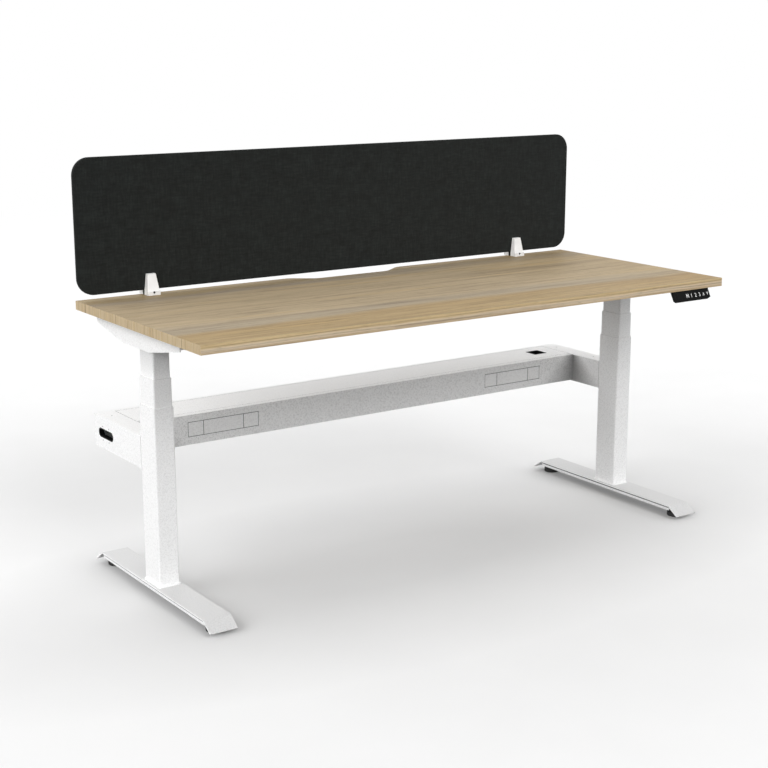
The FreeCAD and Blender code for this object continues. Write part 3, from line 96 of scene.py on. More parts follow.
class Finish:
    """One procedural material, built up a node at a time."""

    def __init__(self, name, **settings):
        self.material = bpy.data.materials.new(name)
        self.material.use_nodes = True
        self.tree = self.material.node_tree
        self.shader = self.tree.nodes["Principled BSDF"]
        self.coordinates = self.add("ShaderNodeTexCoord").outputs["Object"]
        for label, value in settings.items():
            self.shader.inputs[label.replace("_", " ")].default_value = value

    def add(self, kind, **properties):
        """A new node with some of its properties set."""
        node = self.tree.nodes.new(kind)
        for label, value in properties.items():
            setattr(node, label, value)
        return node

    def feed(self, socket, value):
        """A socket gets a link from another node, or a value of its own."""
        if isinstance(value, bpy.types.NodeSocket):
            self.tree.links.new(value, socket)
        else:
            socket.default_value = value

    def stretch(self, x, y, z, vector=None, shift=(0, 0, 0)):
        """A vector, or the object's coordinates, scaled along each axis and then shifted."""
        node = self.add("ShaderNodeMapping")
        self.feed(node.inputs["Vector"], vector or self.coordinates)
        node.inputs["Scale"].default_value = (x, y, z)
        node.inputs["Location"].default_value = shift
        return node.outputs["Vector"]

    def noise(self, vector, scale, detail=2.0, roughness=0.5, distortion=0.0):
        """Soft noise from 0 to 1."""
        node = self.add("ShaderNodeTexNoise")
        self.feed(node.inputs["Vector"], vector)
        node.inputs["Scale"].default_value = scale
        node.inputs["Detail"].default_value = detail
        node.inputs["Roughness"].default_value = roughness
        node.inputs["Distortion"].default_value = distortion
        return node.outputs["Fac"]

    def wave(self, vector, scale, axis):
        """Even waves along an axis, from 0 to 1."""
        node = self.add("ShaderNodeTexWave", bands_direction=axis)
        self.feed(node.inputs["Vector"], vector)
        node.inputs["Scale"].default_value = scale
        return node.outputs["Fac"]

    def ramp(self, value, *stops):
        """Colours laid out along a value, as pairs of a place and a colour."""
        node = self.add("ShaderNodeValToRGB")
        self.feed(node.inputs["Fac"], value)
        elements = node.color_ramp.elements
        while len(elements) < len(stops):
            elements.new(1.0)
        for element, (position, colour) in zip(elements, stops):
            element.position = position
            element.color = colour
        return node.outputs["Color"]

    def span(self, value, low, high, start=0.0, end=1.0):
        """A value carried from one range to another and kept inside it."""
        node = self.add("ShaderNodeMapRange")
        self.feed(node.inputs["Value"], value)
        ends = {"From Min": low, "From Max": high, "To Min": start, "To Max": end}
        for label, number in ends.items():
            node.inputs[label].default_value = number
        return node.outputs["Result"]

    def sum(self, operation, first, second):
        """One sum of two values."""
        node = self.add("ShaderNodeMath", operation=operation)
        self.feed(node.inputs[0], first)
        self.feed(node.inputs[1], second)
        return node.outputs["Value"]

    def mix(self, factor, first, second, blend="MIX"):
        """Two colours mixed."""
        node = self.add("ShaderNodeMix", data_type="RGBA", blend_type=blend)
        self.feed(node.inputs["Factor"], factor)
        self.feed(node.inputs["A"], first)
        self.feed(node.inputs["B"], second)
        return node.outputs["Result"]

    def tint(self, factor, colour, over):
        """A colour darkened by another one laid over it."""
        return self.mix(factor, colour, over, "MULTIPLY")

    def size(self, value):
        """A value without its sign."""
        return self.sum("ABSOLUTE", value, 0.0)

    def parts(self, vector):
        """A vector's X, Y and Z."""
        node = self.add("ShaderNodeSeparateXYZ")
        self.feed(node.inputs["Vector"], vector)
        return node.outputs[0], node.outputs[1], node.outputs[2]

    def direction(self):
        """The X, Y and Z of the way that the bare surface faces."""
        return self.parts(self.add("ShaderNodeNewGeometry").outputs["True Normal"])

    def length(self, vector):
        """A vector's length."""
        node = self.add("ShaderNodeVectorMath", operation="LENGTH")
        self.feed(node.inputs[0], vector)
        return node.outputs["Value"]

    def colour(self, value):
        """The surface's own colour."""
        self.feed(self.shader.inputs["Base Color"], value)

    def rough(self, value):
        """The surface's roughness."""
        self.feed(self.shader.inputs["Roughness"], value)

    def bump(self, height, depth, strength=1.0):
        """Small relief of a real depth in metres, on top of any relief before it."""
        node = self.add("ShaderNodeBump")
        self.feed(node.inputs["Height"], height)
        node.inputs["Distance"].default_value = depth
        node.inputs["Strength"].default_value = strength
        normal = self.shader.inputs["Normal"]
        if normal.is_linked:
            self.feed(node.inputs["Normal"], normal.links[0].from_socket)
        self.feed(normal, node.outputs["Normal"])


WHITE_LEVEL = 253
SPECKLE = 16

# Shade in an inner corner: its width on top and how it widens by depth, how far
# out it ends in widths, and how much light is left in the corner itself
CORNER_WIDTH = 0.03
CORNER_SPREAD = 0.9
CORNER_END = 1.4
CORNER_LIGHT = 0.42


def shaded_on_top(finish, colour, dust_and_top_shade):
    """Painted shade that darkens what faces up."""
    lying = finish.span(finish.direction()[2], 0.3, 0.75)
    return finish.mix(lying, colour, finish.tint(1.0, colour, grey(255 - dust_and_top_shade)))


def shaded_above(finish, colour, low, high, level):
    """Shade that grows from one height up to another, where it reaches a level."""
    near = finish.span(finish.parts(finish.coordinates)[2], low, high)
    return finish.mix(near, colour, finish.tint(1.0, colour, grey(level)))


def shaded_corner(finish, colour, corner, reach):
    """Shade where two inner faces meet, wider lower down.

    The corner is a place out along X and along Y, and the height of its top. The
    reach counts distance along X more, so that a far side stays bright.
    """
    x, y, z = finish.parts(finish.coordinates)
    out = finish.size(finish.sum("SUBTRACT", finish.size(x), corner[0]))
    along = finish.size(finish.sum("SUBTRACT", y, corner[1]))
    distance = finish.sum("ADD", finish.sum("MULTIPLY", out, reach), along)
    drop = finish.sum("SUBTRACT", corner[2], z)
    width = finish.sum("ADD", finish.sum("MULTIPLY", drop, CORNER_SPREAD), CORNER_WIDTH)
    widths = finish.sum("DIVIDE", distance, width)
    light = finish.span(widths, 0.0, CORNER_END, CORNER_LIGHT, 1.0)
    bare = finish.add("ShaderNodeCombineColor")
    for label in ("Red", "Green", "Blue"):
        finish.feed(bare.inputs[label], light)
    return finish.tint(1.0, colour, bare.outputs["Color"])


def powder_coat(name, fleck=SPECKLE, shade=None):
    """White powder coat: a fine sandy relief with a faint speckle.

    A shade is a function of a finish and a colour, with its other values.
    """
    finish = Finish(name, Specular_IOR_Level=0.5)
    grains = finish.noise(finish.coordinates, 300, 1, 0.5)
    clouds = finish.noise(finish.coordinates, 9, 2)
    speckle = finish.ramp(
        grains,
        (0.3, grey(WHITE_LEVEL - fleck)),
        (0.5, grey(WHITE_LEVEL - fleck // 5)),
        (0.7, grey(WHITE_LEVEL + 3)),
    )
    mottle = finish.span(clouds, 0.3, 0.7, 0.0, 0.05)
    colour = finish.mix(mottle, speckle, grey(WHITE_LEVEL - 20))
    if shade:
        colour = shade[0](finish, colour, *shade[1:])
    finish.colour(colour)
    finish.rough(finish.span(grains, 0.3, 0.7, 0.3, 0.4))
    finish.bump(grains, 0.03 * MM, 0.4)
    finish.bump(finish.noise(finish.coordinates, 1400, 2), 0.01 * MM, 0.4)
    return finish.material


# The worktop's half depth, and the heights of its lower and upper face
BOARD_HALF_DEPTH = 0.375
BOARD_HEIGHTS = (0.7525, 0.7775)


def oak_grain(finish, vector):
    """Grain that runs along the first axis of a vector, as a colour and a height."""
    wander = finish.noise(finish.stretch(0.7, 3.0, 3.0, vector), 1.0, 3, 0.6)
    shift = finish.span(wander, 0.2, 0.8, -0.05, 0.05)
    across = finish.sum("ADD", finish.parts(vector)[1], shift)
    zones = finish.ramp(
        finish.span(across, -BOARD_HALF_DEPTH, BOARD_HALF_DEPTH),
        (0.02, srgb(189, 165, 124)),
        (0.17, srgb(186, 161, 120)),
        (0.21, srgb(186, 171, 147)),
        (0.27, srgb(190, 175, 151)),
        (0.34, srgb(200, 181, 150)),
        (0.8, srgb(194, 175, 144)),
        (0.88, srgb(172, 158, 138)),
        (0.93, srgb(170, 149, 110)),
    )
    bands = finish.noise(finish.stretch(1.3, 34.0, 34.0, vector), 1.0, 4, 0.62, 0.35)
    streaks = finish.noise(finish.stretch(4.5, 150.0, 150.0, vector), 1.0, 4, 0.72, 0.2)
    fibres = finish.noise(finish.stretch(20.0, 560.0, 560.0, vector), 1.0, 3, 0.65)
    tones = finish.ramp(
        bands,
        (0.30, srgb(216, 214, 214)),
        (0.42, srgb(240, 238, 238)),
        (0.55, grey(255)),
        (0.68, srgb(255, 248, 232)),
    )
    colour = finish.tint(0.8, zones, tones)
    lines = finish.ramp(streaks, (0.30, grey(182)), (0.42, grey(232)), (0.56, grey(255)))
    colour = finish.tint(0.8, colour, lines)
    pores = finish.ramp(fibres, (0.28, grey(172)), (0.44, grey(246)), (1.0, grey(255)))
    colour = finish.tint(0.75, colour, pores)
    return colour, finish.sum("ADD", streaks, fibres)


def oak_board(name):
    """Light oak laminate with its grain along the desk, a little deeper at the right."""
    finish = Finish(name, Specular_IOR_Level=0.2)
    colour, height = oak_grain(finish, finish.coordinates)
    right = finish.span(finish.parts(finish.coordinates)[0], 0.3, 0.85)
    cast = finish.ramp(right, (0.0, grey(250)), (1.0, srgb(243, 238, 226)))
    finish.colour(finish.tint(1.0, colour, cast))
    finish.rough(finish.span(height, 0.6, 1.4, 0.65, 0.52))
    finish.bump(height, 0.05 * MM, 0.3)
    return finish.material


def oak_edge(name):
    """Edge band: long wavy grain on the front and rear, short stripes round the ends."""
    finish = Finish(name, Specular_IOR_Level=0.35)
    long_grain, height = oak_grain(finish, finish.coordinates)
    drift = finish.noise(finish.stretch(2.2, 3.0, 3.0), 1.0, 3, 0.6)
    shift = finish.span(drift, 0.2, 0.8, -0.005, 0.005)
    rise = finish.sum("ADD", finish.parts(finish.coordinates)[2], shift)
    warm = finish.ramp(
        finish.span(rise, *BOARD_HEIGHTS),
        (0.08, srgb(196, 173, 138)),
        (0.28, srgb(216, 197, 169)),
        (0.42, srgb(198, 181, 157)),
        (0.55, srgb(220, 201, 171)),
        (0.72, srgb(202, 178, 136)),
        (0.88, srgb(217, 194, 150)),
    )
    waves = finish.noise(finish.stretch(1.6, 3.0, 190.0), 1.0, 4, 0.65, 1.1)
    veins = finish.ramp(
        waves,
        (0.33, srgb(158, 148, 138)),
        (0.45, srgb(236, 230, 222)),
        (0.6, grey(255)),
    )
    warm = finish.tint(0.75, warm, veins)
    fibres = finish.noise(finish.stretch(30.0, 3.0, 700.0), 1.0, 3, 0.65)
    pores = finish.ramp(fibres, (0.3, grey(180)), (0.46, grey(255)))
    warm = finish.tint(0.6, warm, pores)
    stripes = finish.noise(finish.stretch(1.0, 170.0, 2.5), 1.0, 4, 0.75, 0.2)
    ends = finish.ramp(
        stripes,
        (0.34, srgb(132, 112, 82)),
        (0.43, srgb(176, 153, 118)),
        (0.52, srgb(199, 181, 148)),
        (0.6, srgb(180, 153, 110)),
        (0.68, srgb(150, 126, 88)),
    )
    sideways, _, upward = finish.direction()
    on_end = finish.sum("GREATER_THAN", finish.size(sideways), 0.7)
    on_top = finish.sum("GREATER_THAN", finish.size(upward), 0.7)
    colour = finish.mix(on_end, warm, ends)
    finish.colour(finish.mix(on_top, colour, long_grain))
    finish.rough(finish.span(height, 0.6, 1.4, 0.6, 0.48))
    finish.bump(height, 0.06 * MM, 0.3)
    return finish.material


def felt(name, level):
    """Charcoal felt: crossed slubs of yarn and mottled fibres over a fine weave."""
    finish = Finish(name, Specular_IOR_Level=0.12)
    finish.shader.inputs["Sheen Weight"].default_value = 0.06
    finish.shader.inputs["Sheen Roughness"].default_value = 0.6
    threads = finish.stretch(620, 620, 620)
    warp, weft = (finish.wave(threads, 0.32, axis) for axis in "XZ")
    weave = finish.sum("MULTIPLY", warp, weft)
    fibres = finish.noise(finish.coordinates, 700, 3, 0.7)
    upright = finish.noise(finish.stretch(190.0, 190.0, 34.0), 1.0, 4, 0.68)
    level_yarn = finish.noise(finish.stretch(34.0, 190.0, 190.0), 1.0, 4, 0.68)
    slubs = finish.sum("MULTIPLY", finish.sum("ADD", upright, level_yarn), 0.5)
    clouds = finish.noise(finish.stretch(1.0, 1.0, 1.6), 17, 4, 0.65)
    colour = finish.ramp(
        slubs,
        (0.34, srgb(level - 7, level - 4, level - 6)),
        (0.5, srgb(level, level + 3, level + 2)),
        (0.66, srgb(level + 9, level + 13, level + 11)),
    )
    shade = finish.ramp(clouds, (0.3, srgb(222, 216, 216)), (0.7, srgb(252, 255, 255)))
    colour = finish.tint(0.9, colour, shade)
    flecks = finish.ramp(fibres, (0.62, grey(0)), (0.78, srgb(20, 22, 21)))
    finish.colour(finish.mix(1.0, colour, flecks, "ADD"))
    finish.rough(finish.span(fibres, 0.3, 0.7, 0.85, 1.0))
    finish.bump(weave, 0.25 * MM, 0.5)
    finish.bump(slubs, 0.4 * MM, 0.5)
    finish.bump(fibres, 0.3 * MM, 0.5)
    return finish.material


def moulded(name, low, high, roughness, grain=900, depth=0.05, shine=0.45):
    """Moulded plastic or rubber with a fine eroded grain."""
    finish = Finish(name, Specular_IOR_Level=shine)
    cells = finish.noise(finish.coordinates, grain, 3, 0.6)
    wear = finish.noise(finish.coordinates, 35, 3, 0.6)
    finish.colour(finish.ramp(wear, (0.35, low), (0.65, high)))
    finish.rough(finish.span(cells, 0.3, 0.7, roughness - 0.06, roughness + 0.08))
    finish.bump(cells, depth * MM, 0.5)
    return finish.material


def steel(name, low, high, roughness, grain=(40, 40, 900), thread=0):
    """Plated or ground steel with fine tool marks, and a thread of a pitch in millimetres."""
    finish = Finish(name, Metallic=1.0)
    marks = finish.noise(finish.stretch(*grain), 1.0, 3, 0.7)
    stains = finish.noise(finish.coordinates, 60, 3, 0.6)
    finish.colour(finish.ramp(stains, (0.35, low), (0.65, high)))
    finish.rough(finish.span(marks, 0.3, 0.7, roughness - 0.08, roughness + 0.1))
    finish.bump(marks, 0.02 * MM, 0.4)
    if thread:
        turns = finish.wave(finish.coordinates, math.tau / (20 * thread * MM), "Z")
        finish.bump(turns, 0.4 * thread * MM, 1.0)
    return finish.material


def glass_black(name):
    """The display's dark glossy window."""
    finish = Finish(name, Specular_IOR_Level=0.1)
    smears = finish.noise(finish.coordinates, 120, 3, 0.7)
    finish.colour(finish.ramp(smears, (0.4, grey(4)), (0.7, grey(8))))
    finish.rough(finish.span(smears, 0.35, 0.7, 0.08, 0.2))
    return finish.material


def printed(name):
    """White screen print with a faint wear."""
    finish = Finish(name, Specular_IOR_Level=0.3)
    dots = finish.noise(finish.coordinates, 1500, 2)
    finish.colour(finish.ramp(dots, (0.3, grey(205)), (0.6, grey(238))))
    finish.rough(finish.span(dots, 0.3, 0.7, 0.45, 0.65))
    return finish.material


FINISHES = {
    "white_powder": powder_coat("white powder coat"),
    "zinc_steel": steel("zinc plated steel", grey(150), grey(186), 0.36),
    "bright_steel": steel("ground steel", grey(168), grey(200), 0.24, (30, 30, 1400), 3),
    "oak_board": oak_board("oak laminate"),
    "oak_edge": oak_edge("oak edge band"),
    "charcoal_felt": felt("charcoal felt", 33),
    "black_plastic": moulded("black plastic", grey(8), grey(12), 0.6, shine=0.1),
    "black_rubber": moulded("black rubber", grey(33), grey(42), 0.7, 600, 0.1),
    "glide_plastic": moulded("glide plastic", grey(214), grey(226), 0.4),
    "display_black": glass_black("display window"),
    "button_black": moulded("button cap", grey(10), grey(15), 0.6, 1600, 0.03, 0.1),
    "white_plastic": moulded("white plastic", grey(238), grey(245), 0.42, 1200, 0.02),
    "nut_plastic": moulded("nut plastic", srgb(214, 210, 196), srgb(224, 221, 208), 0.45),
}
BEAM_LOW, BEAM_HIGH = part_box("beam_trough")
BEAM_CORNER = (BEAM_HIGH.x, BEAM_LOW.y, BEAM_HIGH.z)
TUBE_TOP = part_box("left_inner_tube")[1].z
TUBE_SHADE_DEPTH = 0.12
TUBE_SHADES = {"left": 190, "right": 224}
# The feet's upper faces take painted shade
FOOT_WHITE = powder_coat("white powder coat on the feet", shade=(shaded_on_top, 38))
BEAM_WHITE = powder_coat(
    "white powder coat on the beam", fleck=28, shade=(shaded_corner, BEAM_CORNER, 1.0)
)
ARM_WHITE = powder_coat("white powder coat on the arms", shade=(shaded_corner, BEAM_CORNER, 4.0))
TUBE_WHITES = {
    side: powder_coat(
        f"white powder coat on the {side} inner tube",
        shade=(shaded_above, TUBE_TOP - TUBE_SHADE_DEPTH, TUBE_TOP, level),
    )
    for side, level in TUBE_SHADES.items()
}
PAINTED = moulded("painted screw", grey(214), grey(226), 0.45, 900, 0.02, 0.3)
# Darker grey in the painted screws' recesses, as painted shade
PAINTED_SCREW_SHADE = moulded("recess shade on painted screws", grey(128), grey(146), 0.6, 900, 0.02, 0.2)
DARK_STEEL = steel("blackened steel", grey(84), grey(104), 0.42)
# Grey strips of painted shade in the gap round the beam's cover
COVER_GAP_SHADE = moulded("cover gap shade", grey(84), grey(98), 0.8, 700, 0.05, 0.1)
PRINT = printed("white print")
# Near-black strips of painted shade round the outlet blanks and in their grooves
OUTLET_GAP_SHADE = moulded("outlet gap shade", grey(24), grey(36), 0.8, 700, 0.05, 0.1)
# Pale grey wiper rings, as painted shade along the tubes' top edges
SHADE_RING_GREY = moulded("wiper ring", grey(222), grey(230), 0.6, 700, 0.03, 0.2)
# Grey for the seal round each column's foot, and for strips of painted shade under the foot plates
SEAL_AND_SHADE_GREY = moulded("grey seal and foot shade", grey(98), grey(112), 0.7, 700, 0.03, 0.2)
# Near-black in the steel screws' recesses, as painted shade
STEEL_RECESS_SHADE = moulded("recess shade on steel screws", grey(26), grey(38), 0.6, 900, 0.02, 0.2)
FELT_EDGE = felt("felt edge", 22)


def dress_nodes():
    """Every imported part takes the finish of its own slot, and some a white of their own."""
    for part in frame["record"]["subparts"]:
        node = frame["nodes"][part["node"]]
        node.data.materials.clear()
        node.data.materials.append(FINISHES[part["material_slot"]])
    for side in SIDES:
        frame["nodes"][f"{side}_foot_plate"].data.materials[0] = FOOT_WHITE
        frame["nodes"][f"{side}_arm_trough"].data.materials[0] = ARM_WHITE
        frame["nodes"][f"{side}_inner_tube"].data.materials[0] = TUBE_WHITES[side]
    frame["nodes"]["beam_trough"].data.materials[0] = BEAM_WHITE


dress_nodes()


def soften(width, *names):
    """Small true roundings, in millimetres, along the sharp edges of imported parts."""
    for name in names:
        node = frame["nodes"][name]
        weld = node.modifiers.new("joined", "WELD")
        weld.merge_threshold = WELD_GAP
        bevel = node.modifiers.new("eased", "BEVEL")
        bevel.width = width * MM
        bevel.segments = 2
        bevel.limit_method = "ANGLE"
        bevel.angle_limit = math.radians(40)
        bevel.use_clamp_overlap = False
        bevel.harden_normals = False
        even = node.modifiers.new("even", "WEIGHTED_NORMAL")
        even.keep_sharp = True
        even.weight = 100


soften(0.9, "left_foot_plate", "right_foot_plate")
soften(0.6, "handset_housing", "bracket_fronts", "bracket_rears")


# Mesh helpers
def add_piece(name, mesh, body, materials):
    """A mesh that already lies in place becomes a piece that rides on a body."""
    piece = bpy.data.objects.new(name, mesh)
    for material in materials:
        mesh.materials.append(material)
    bpy.context.scene.collection.objects.link(piece)
    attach(piece, body)
    return piece


def mesh_from(name, made, smooth=True):
    """A mesh datablock from a bmesh, with outward faces."""
    bmesh.ops.recalc_face_normals(made, faces=made.faces)
    mesh = bpy.data.meshes.new(name)
    made.to_mesh(mesh)
    made.free()
    for face in mesh.polygons:
        face.use_smooth = smooth
    return mesh


def islands(name):
    """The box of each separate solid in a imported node, as pairs of corners."""
    solid = bmesh.new()
    solid.from_mesh(frame["nodes"][name].data)
    bmesh.ops.remove_doubles(solid, verts=solid.verts, dist=WELD_GAP)
    waiting = set(solid.verts)
    boxes = []
    while waiting:
        front = [waiting.pop()]
        members = []
        while front:
            vertex = front.pop()
            members.append(vertex.co.copy())
            for edge in vertex.link_edges:
                other = edge.other_vert(vertex)
                if other in waiting:
                    waiting.remove(other)
                    front.append(other)
        low = Vector(min(co[i] for co in members) for i in range(3))
        high = Vector(max(co[i] for co in members) for i in range(3))
        boxes.append((low, high))
    solid.free()
    return sorted(boxes, key=lambda box: tuple(round(value, 5) for value in box[0]))


def join_loops(made, first, second):
    """Four-sided faces between two loops of as many vertices."""
    count = len(first)
    for step in range(count):
        following = (step + 1) % count
        made.faces.new((first[step], first[following], second[following], second[step]))


def cap(made, loops):
    """Flat faces over the first and the last loop."""
    made.faces.new(list(reversed(loops[0])))
    made.faces.new(loops[-1])


def rings(made, profile, count, place, spread=None):
    """Rings of vertices up a profile of radius and height, joined by faces."""
    loops = []
    for radius, height in profile:
        loop = []
        for step in range(count):
            angle = math.tau * step / count
            reach = radius * (spread(angle) if spread else 1.0)
            spot = Vector((reach * math.cos(angle), reach * math.sin(angle), height))
            loop.append(made.verts.new(place @ spot))
        loops.append(loop)
    for lower, upper in zip(loops, loops[1:]):
        join_loops(made, lower, upper)
    return loops


def cross_outline(size):
    """The outline of a cross recess."""
    half = size * 0.3
    corners = []
    for quarter in range(4):
        turn = Matrix.Rotation(quarter * math.tau / 4, 3, "Z")
        for x, y in ((size, -half), (size, half), (half, half)):
            corners.append(turn @ Vector((x, y, 0)))
    return corners


def hexagon_outline(size):
    """The outline of a hexagon socket."""
    angles = [math.tau * step / 6 for step in range(6)]
    return [Vector((size * math.cos(angle), size * math.sin(angle), 0)) for angle in angles]


HEAD_STEPS = 28
SHANK_STEPS = 14
RECESS_TAPER = 0.85


def add_screw_head(made, place, radius, height, outline, depth):
    """A domed screw head on its seat, with a recess cut into its crown."""
    profile = (
        (radius * 0.94, 0.0),
        (radius, height * 0.15),
        (radius, height * 0.5),
        (radius * 0.94, height * 0.78),
        (radius * 0.8, height),
    )
    loops = rings(made, profile, HEAD_STEPS, place)
    made.faces.new(list(reversed(loops[0])))
    crown, sunk = Vector((0, 0, height)), Vector((0, 0, height - depth))
    mouth = [made.verts.new(place @ (spot + crown)) for spot in outline]
    floor = [made.verts.new(place @ (spot * RECESS_TAPER + sunk)) for spot in outline]
    edges = []
    for loop in (loops[-1], mouth):
        for first, second in zip(loop, loop[1:] + loop[:1]):
            edges.append(made.edges.get((first, second)) or made.edges.new((first, second)))
    bmesh.ops.triangle_fill(made, use_beauty=True, use_dissolve=False, edges=edges)
    # The recess's walls and floor take the second material, darker as painted shade
    for step in range(len(outline)):
        following = (step + 1) % len(outline)
        wall = made.faces.new((mouth[step], mouth[following], floor[following], floor[step]))
        wall.material_index = 1
    made.faces.new(floor).material_index = 1


def facing(axis):
    """A turn that carries +Z to an axis."""
    return Vector(axis).to_track_quat("Z", "Y").to_matrix().to_4x4()


# Screen panel
SCREEN_ROUND = 50 * MM
FELT_CROWN = 0.6 * MM
FELT_LIP = 2.2 * MM
CROWN_INSETS = (8 * MM, 20 * MM, 34 * MM)
CORNER_STEPS = 14
LIP_STEPS = 4


def screen_loop(low, high, inset):
    """Points round the panel's outline, drawn in by an inset, with round corners."""
    radius = SCREEN_ROUND - inset
    points = []
    middles = (
        (high.x - SCREEN_ROUND, low.z + SCREEN_ROUND, -90),
        (high.x - SCREEN_ROUND, high.z - SCREEN_ROUND, 0),
        (low.x + SCREEN_ROUND, high.z - SCREEN_ROUND, 90),
        (low.x + SCREEN_ROUND, low.z + SCREEN_ROUND, 180),
    )
    for x, z, first in middles:
        for step in range(CORNER_STEPS + 1):
            angle = math.radians(first + 90 * step / CORNER_STEPS)
            points.append((x + radius * math.cos(angle), z + radius * math.sin(angle)))
    return points


def build_screen():
    """The felt panel: two covers that roll over the edges onto a darker edge strip."""
    low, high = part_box("screen_panel")
    middle = (low.y + high.y) / 2
    half = (high.y - low.y) / 2
    made = bmesh.new()
    sections = []
    for side in (-1, 1):
        part = []
        for turn in range(LIP_STEPS + 1):
            angle = math.radians(90 * turn / LIP_STEPS)
            inset = FELT_LIP * (1 - math.sin(angle))
            reach = half - FELT_LIP * (1 - math.cos(angle))
            part.append((inset, middle + side * reach))
        sections.append(part)
    loops = []
    for inset, y in sections[0] + sections[1][::-1]:
        loops.append([made.verts.new((x, y, z)) for x, z in screen_loop(low, high, inset)])
    for row, (first, second) in enumerate(zip(loops, loops[1:])):
        done = len(made.faces)
        join_loops(made, first, second)
        if LIP_STEPS - 1 <= row <= LIP_STEPS + 1:
            made.faces.ensure_lookup_table()
            for face in made.faces[done:]:
                face.material_index = 1
    for outer, side in ((loops[0], -1), (loops[-1], 1)):
        for inset in CROWN_INSETS:
            y = middle + side * (half + FELT_CROWN * inset / CROWN_INSETS[-1] - FELT_CROWN)
            spots = screen_loop(low, high, FELT_LIP + inset)
            inner = [made.verts.new((x, y, z)) for x, z in spots]
            join_loops(made, outer, inner)
            outer = inner
        made.faces.new(outer)
    piece = add_piece(
        "felt_screen",
        mesh_from("felt_screen", made),
        "lift",
        (FINISHES["charcoal_felt"], FELT_EDGE),
    )
    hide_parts("screen_panel")


# Handset labels
BUTTON_LABELS = (
    ("memory", "M"),
    ("one", "1"),
    ("two", "2"),
    ("three", "3"),
    ("up", "up"),
    ("down", "down"),
)
BUTTON_DEPTH = 4 * MM
LABEL_HEIGHT = 12 * MM
LABEL_RELIEF = 0.06 * MM
ARROW_WIDTH = 8 * MM
ARROW_RISE = 10 * MM
ARROW_STROKE = 2.2 * MM
LETTER_OFFSET = 0.08 * MM

# The font's size against the height of its capitals
FONT_SCALE = 1.42

# The letter M's outline, in millimetres about its middle
LETTER_M = (
    (-5, -6),
    (-3, -6),
    (-3, 2.2),
    (0, -3.4),
    (3, 2.2),
    (3, -6),
    (5, -6),
    (5, 6),
    (3.1, 6),
    (0, 0.2),
    (-3.1, 6),
    (-5, 6),
)


def face_axes():
    """The outward normal and the upward slope of the handset's front face."""
    joint = [item for item in frame["joints"] if item["name"] == "memory_press"][0]
    outward = -Vector(joint["axis"]).normalized()
    upward = outward.cross(Vector((1, 0, 0))).normalized()
    return outward, upward if upward.z > 0 else -upward


def raised_mesh(faces):
    """Flat faces, as outlines in a plane, raised into one thin sign."""
    made = bmesh.new()
    for outline in faces:
        made.faces.new([made.verts.new((x, y, 0)) for x, y in outline])
    bmesh.ops.remove_doubles(made, verts=made.verts, dist=WELD_GAP / 10)
    raised = bmesh.ops.extrude_face_region(made, geom=made.faces[:])
    for item in raised["geom"]:
        if isinstance(item, bmesh.types.BMVert):
            item.co.z += LABEL_RELIEF
    return mesh_from("sign", made, smooth=False)


def arrow_mesh(up):
    """A chevron that points up or down."""
    sign = 1 if up else -1
    wide, tall = ARROW_WIDTH / 2, ARROW_RISE / 2
    narrow, short = wide - ARROW_STROKE, tall - ARROW_STROKE * 1.7
    left = ((-wide, -tall), (0, tall), (0, short), (-narrow, -tall))
    right = ((0, tall), (wide, -tall), (narrow, -tall), (0, short))
    return raised_mesh([[(x, sign * y) for x, y in quad] for quad in (left, right)])


def letter_mesh(text):
    """One printed sign as a mesh about its own middle."""
    if text == "M":
        return raised_mesh([[(x * MM, y * MM) for x, y in LETTER_M]])
    curve = bpy.data.curves.new("sign", "FONT")
    curve.body = text
    curve.size = LABEL_HEIGHT * FONT_SCALE
    curve.extrude = LABEL_RELIEF / 2
    curve.offset = LETTER_OFFSET
    carrier = bpy.data.objects.new("sign", curve)
    bpy.context.scene.collection.objects.link(carrier)
    bpy.context.view_layer.update()
    graph = bpy.context.evaluated_depsgraph_get()
    mesh = bpy.data.meshes.new_from_object(carrier.evaluated_get(graph))
    bpy.data.objects.remove(carrier)
    bpy.data.curves.remove(curve)
    mesh.materials.clear()
    for face in mesh.polygons:
        face.use_smooth = False
    spots = [vertex.co for vertex in mesh.vertices]
    middle = [(min(co[i] for co in spots) + max(co[i] for co in spots)) / 2 for i in range(3)]
    mesh.transform(Matrix.Translation((-middle[0], -middle[1], LABEL_RELIEF / 2 - middle[2])))
    return mesh


def build_labels():
    """The six signs on the buttons, each riding with its own button."""
    outward, upward = face_axes()
    for name, sign in BUTTON_LABELS:
        low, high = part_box(f"button_{name}")
        spot = (low + high) / 2 + outward * (BUTTON_DEPTH / 2)
        mesh = letter_mesh(sign) if len(sign) == 1 else arrow_mesh(sign == "up")
        turn = Matrix((Vector((1, 0, 0)), upward, outward)).transposed().to_4x4()
        mesh.transform(Matrix.Translation(spot) @ turn)
        add_piece(f"{name}_label", mesh, f"button_{name}", (PRINT,))


# Fasteners

# The share of a shank that is threaded, and a thread's root against its crest
THREADED = 0.9
ROOT = 0.84

# Screws: the radius and height of the head, the radius and pitch of the shank, the
# recess's outline, size and depth
COVER_SCREW = (2.8 * MM, 0.8 * MM, 1.5 * MM, 0.8 * MM, cross_outline, 1.5 * MM, 0.6 * MM)
FRAME_SCREW = (6 * MM, 3.5 * MM, 3 * MM, 1.8 * MM, cross_outline, 3.2 * MM, 2 * MM)

SOCKET_HEAD = 3 * MM
SOCKET_PITCH = 1.4 * MM
SOCKET_DEPTH = 2 * MM

BOLT_HEAD = 5 * MM
BOLT_RADIUS = 6.5 * MM
BOLT_WASHER = 0.9 * MM
BOLT_EDGE = 4.5 * MM
BOLT_SHANK = 4 * MM
BOLT_PITCH = 1.6 * MM
BOLT_STEPS = 24

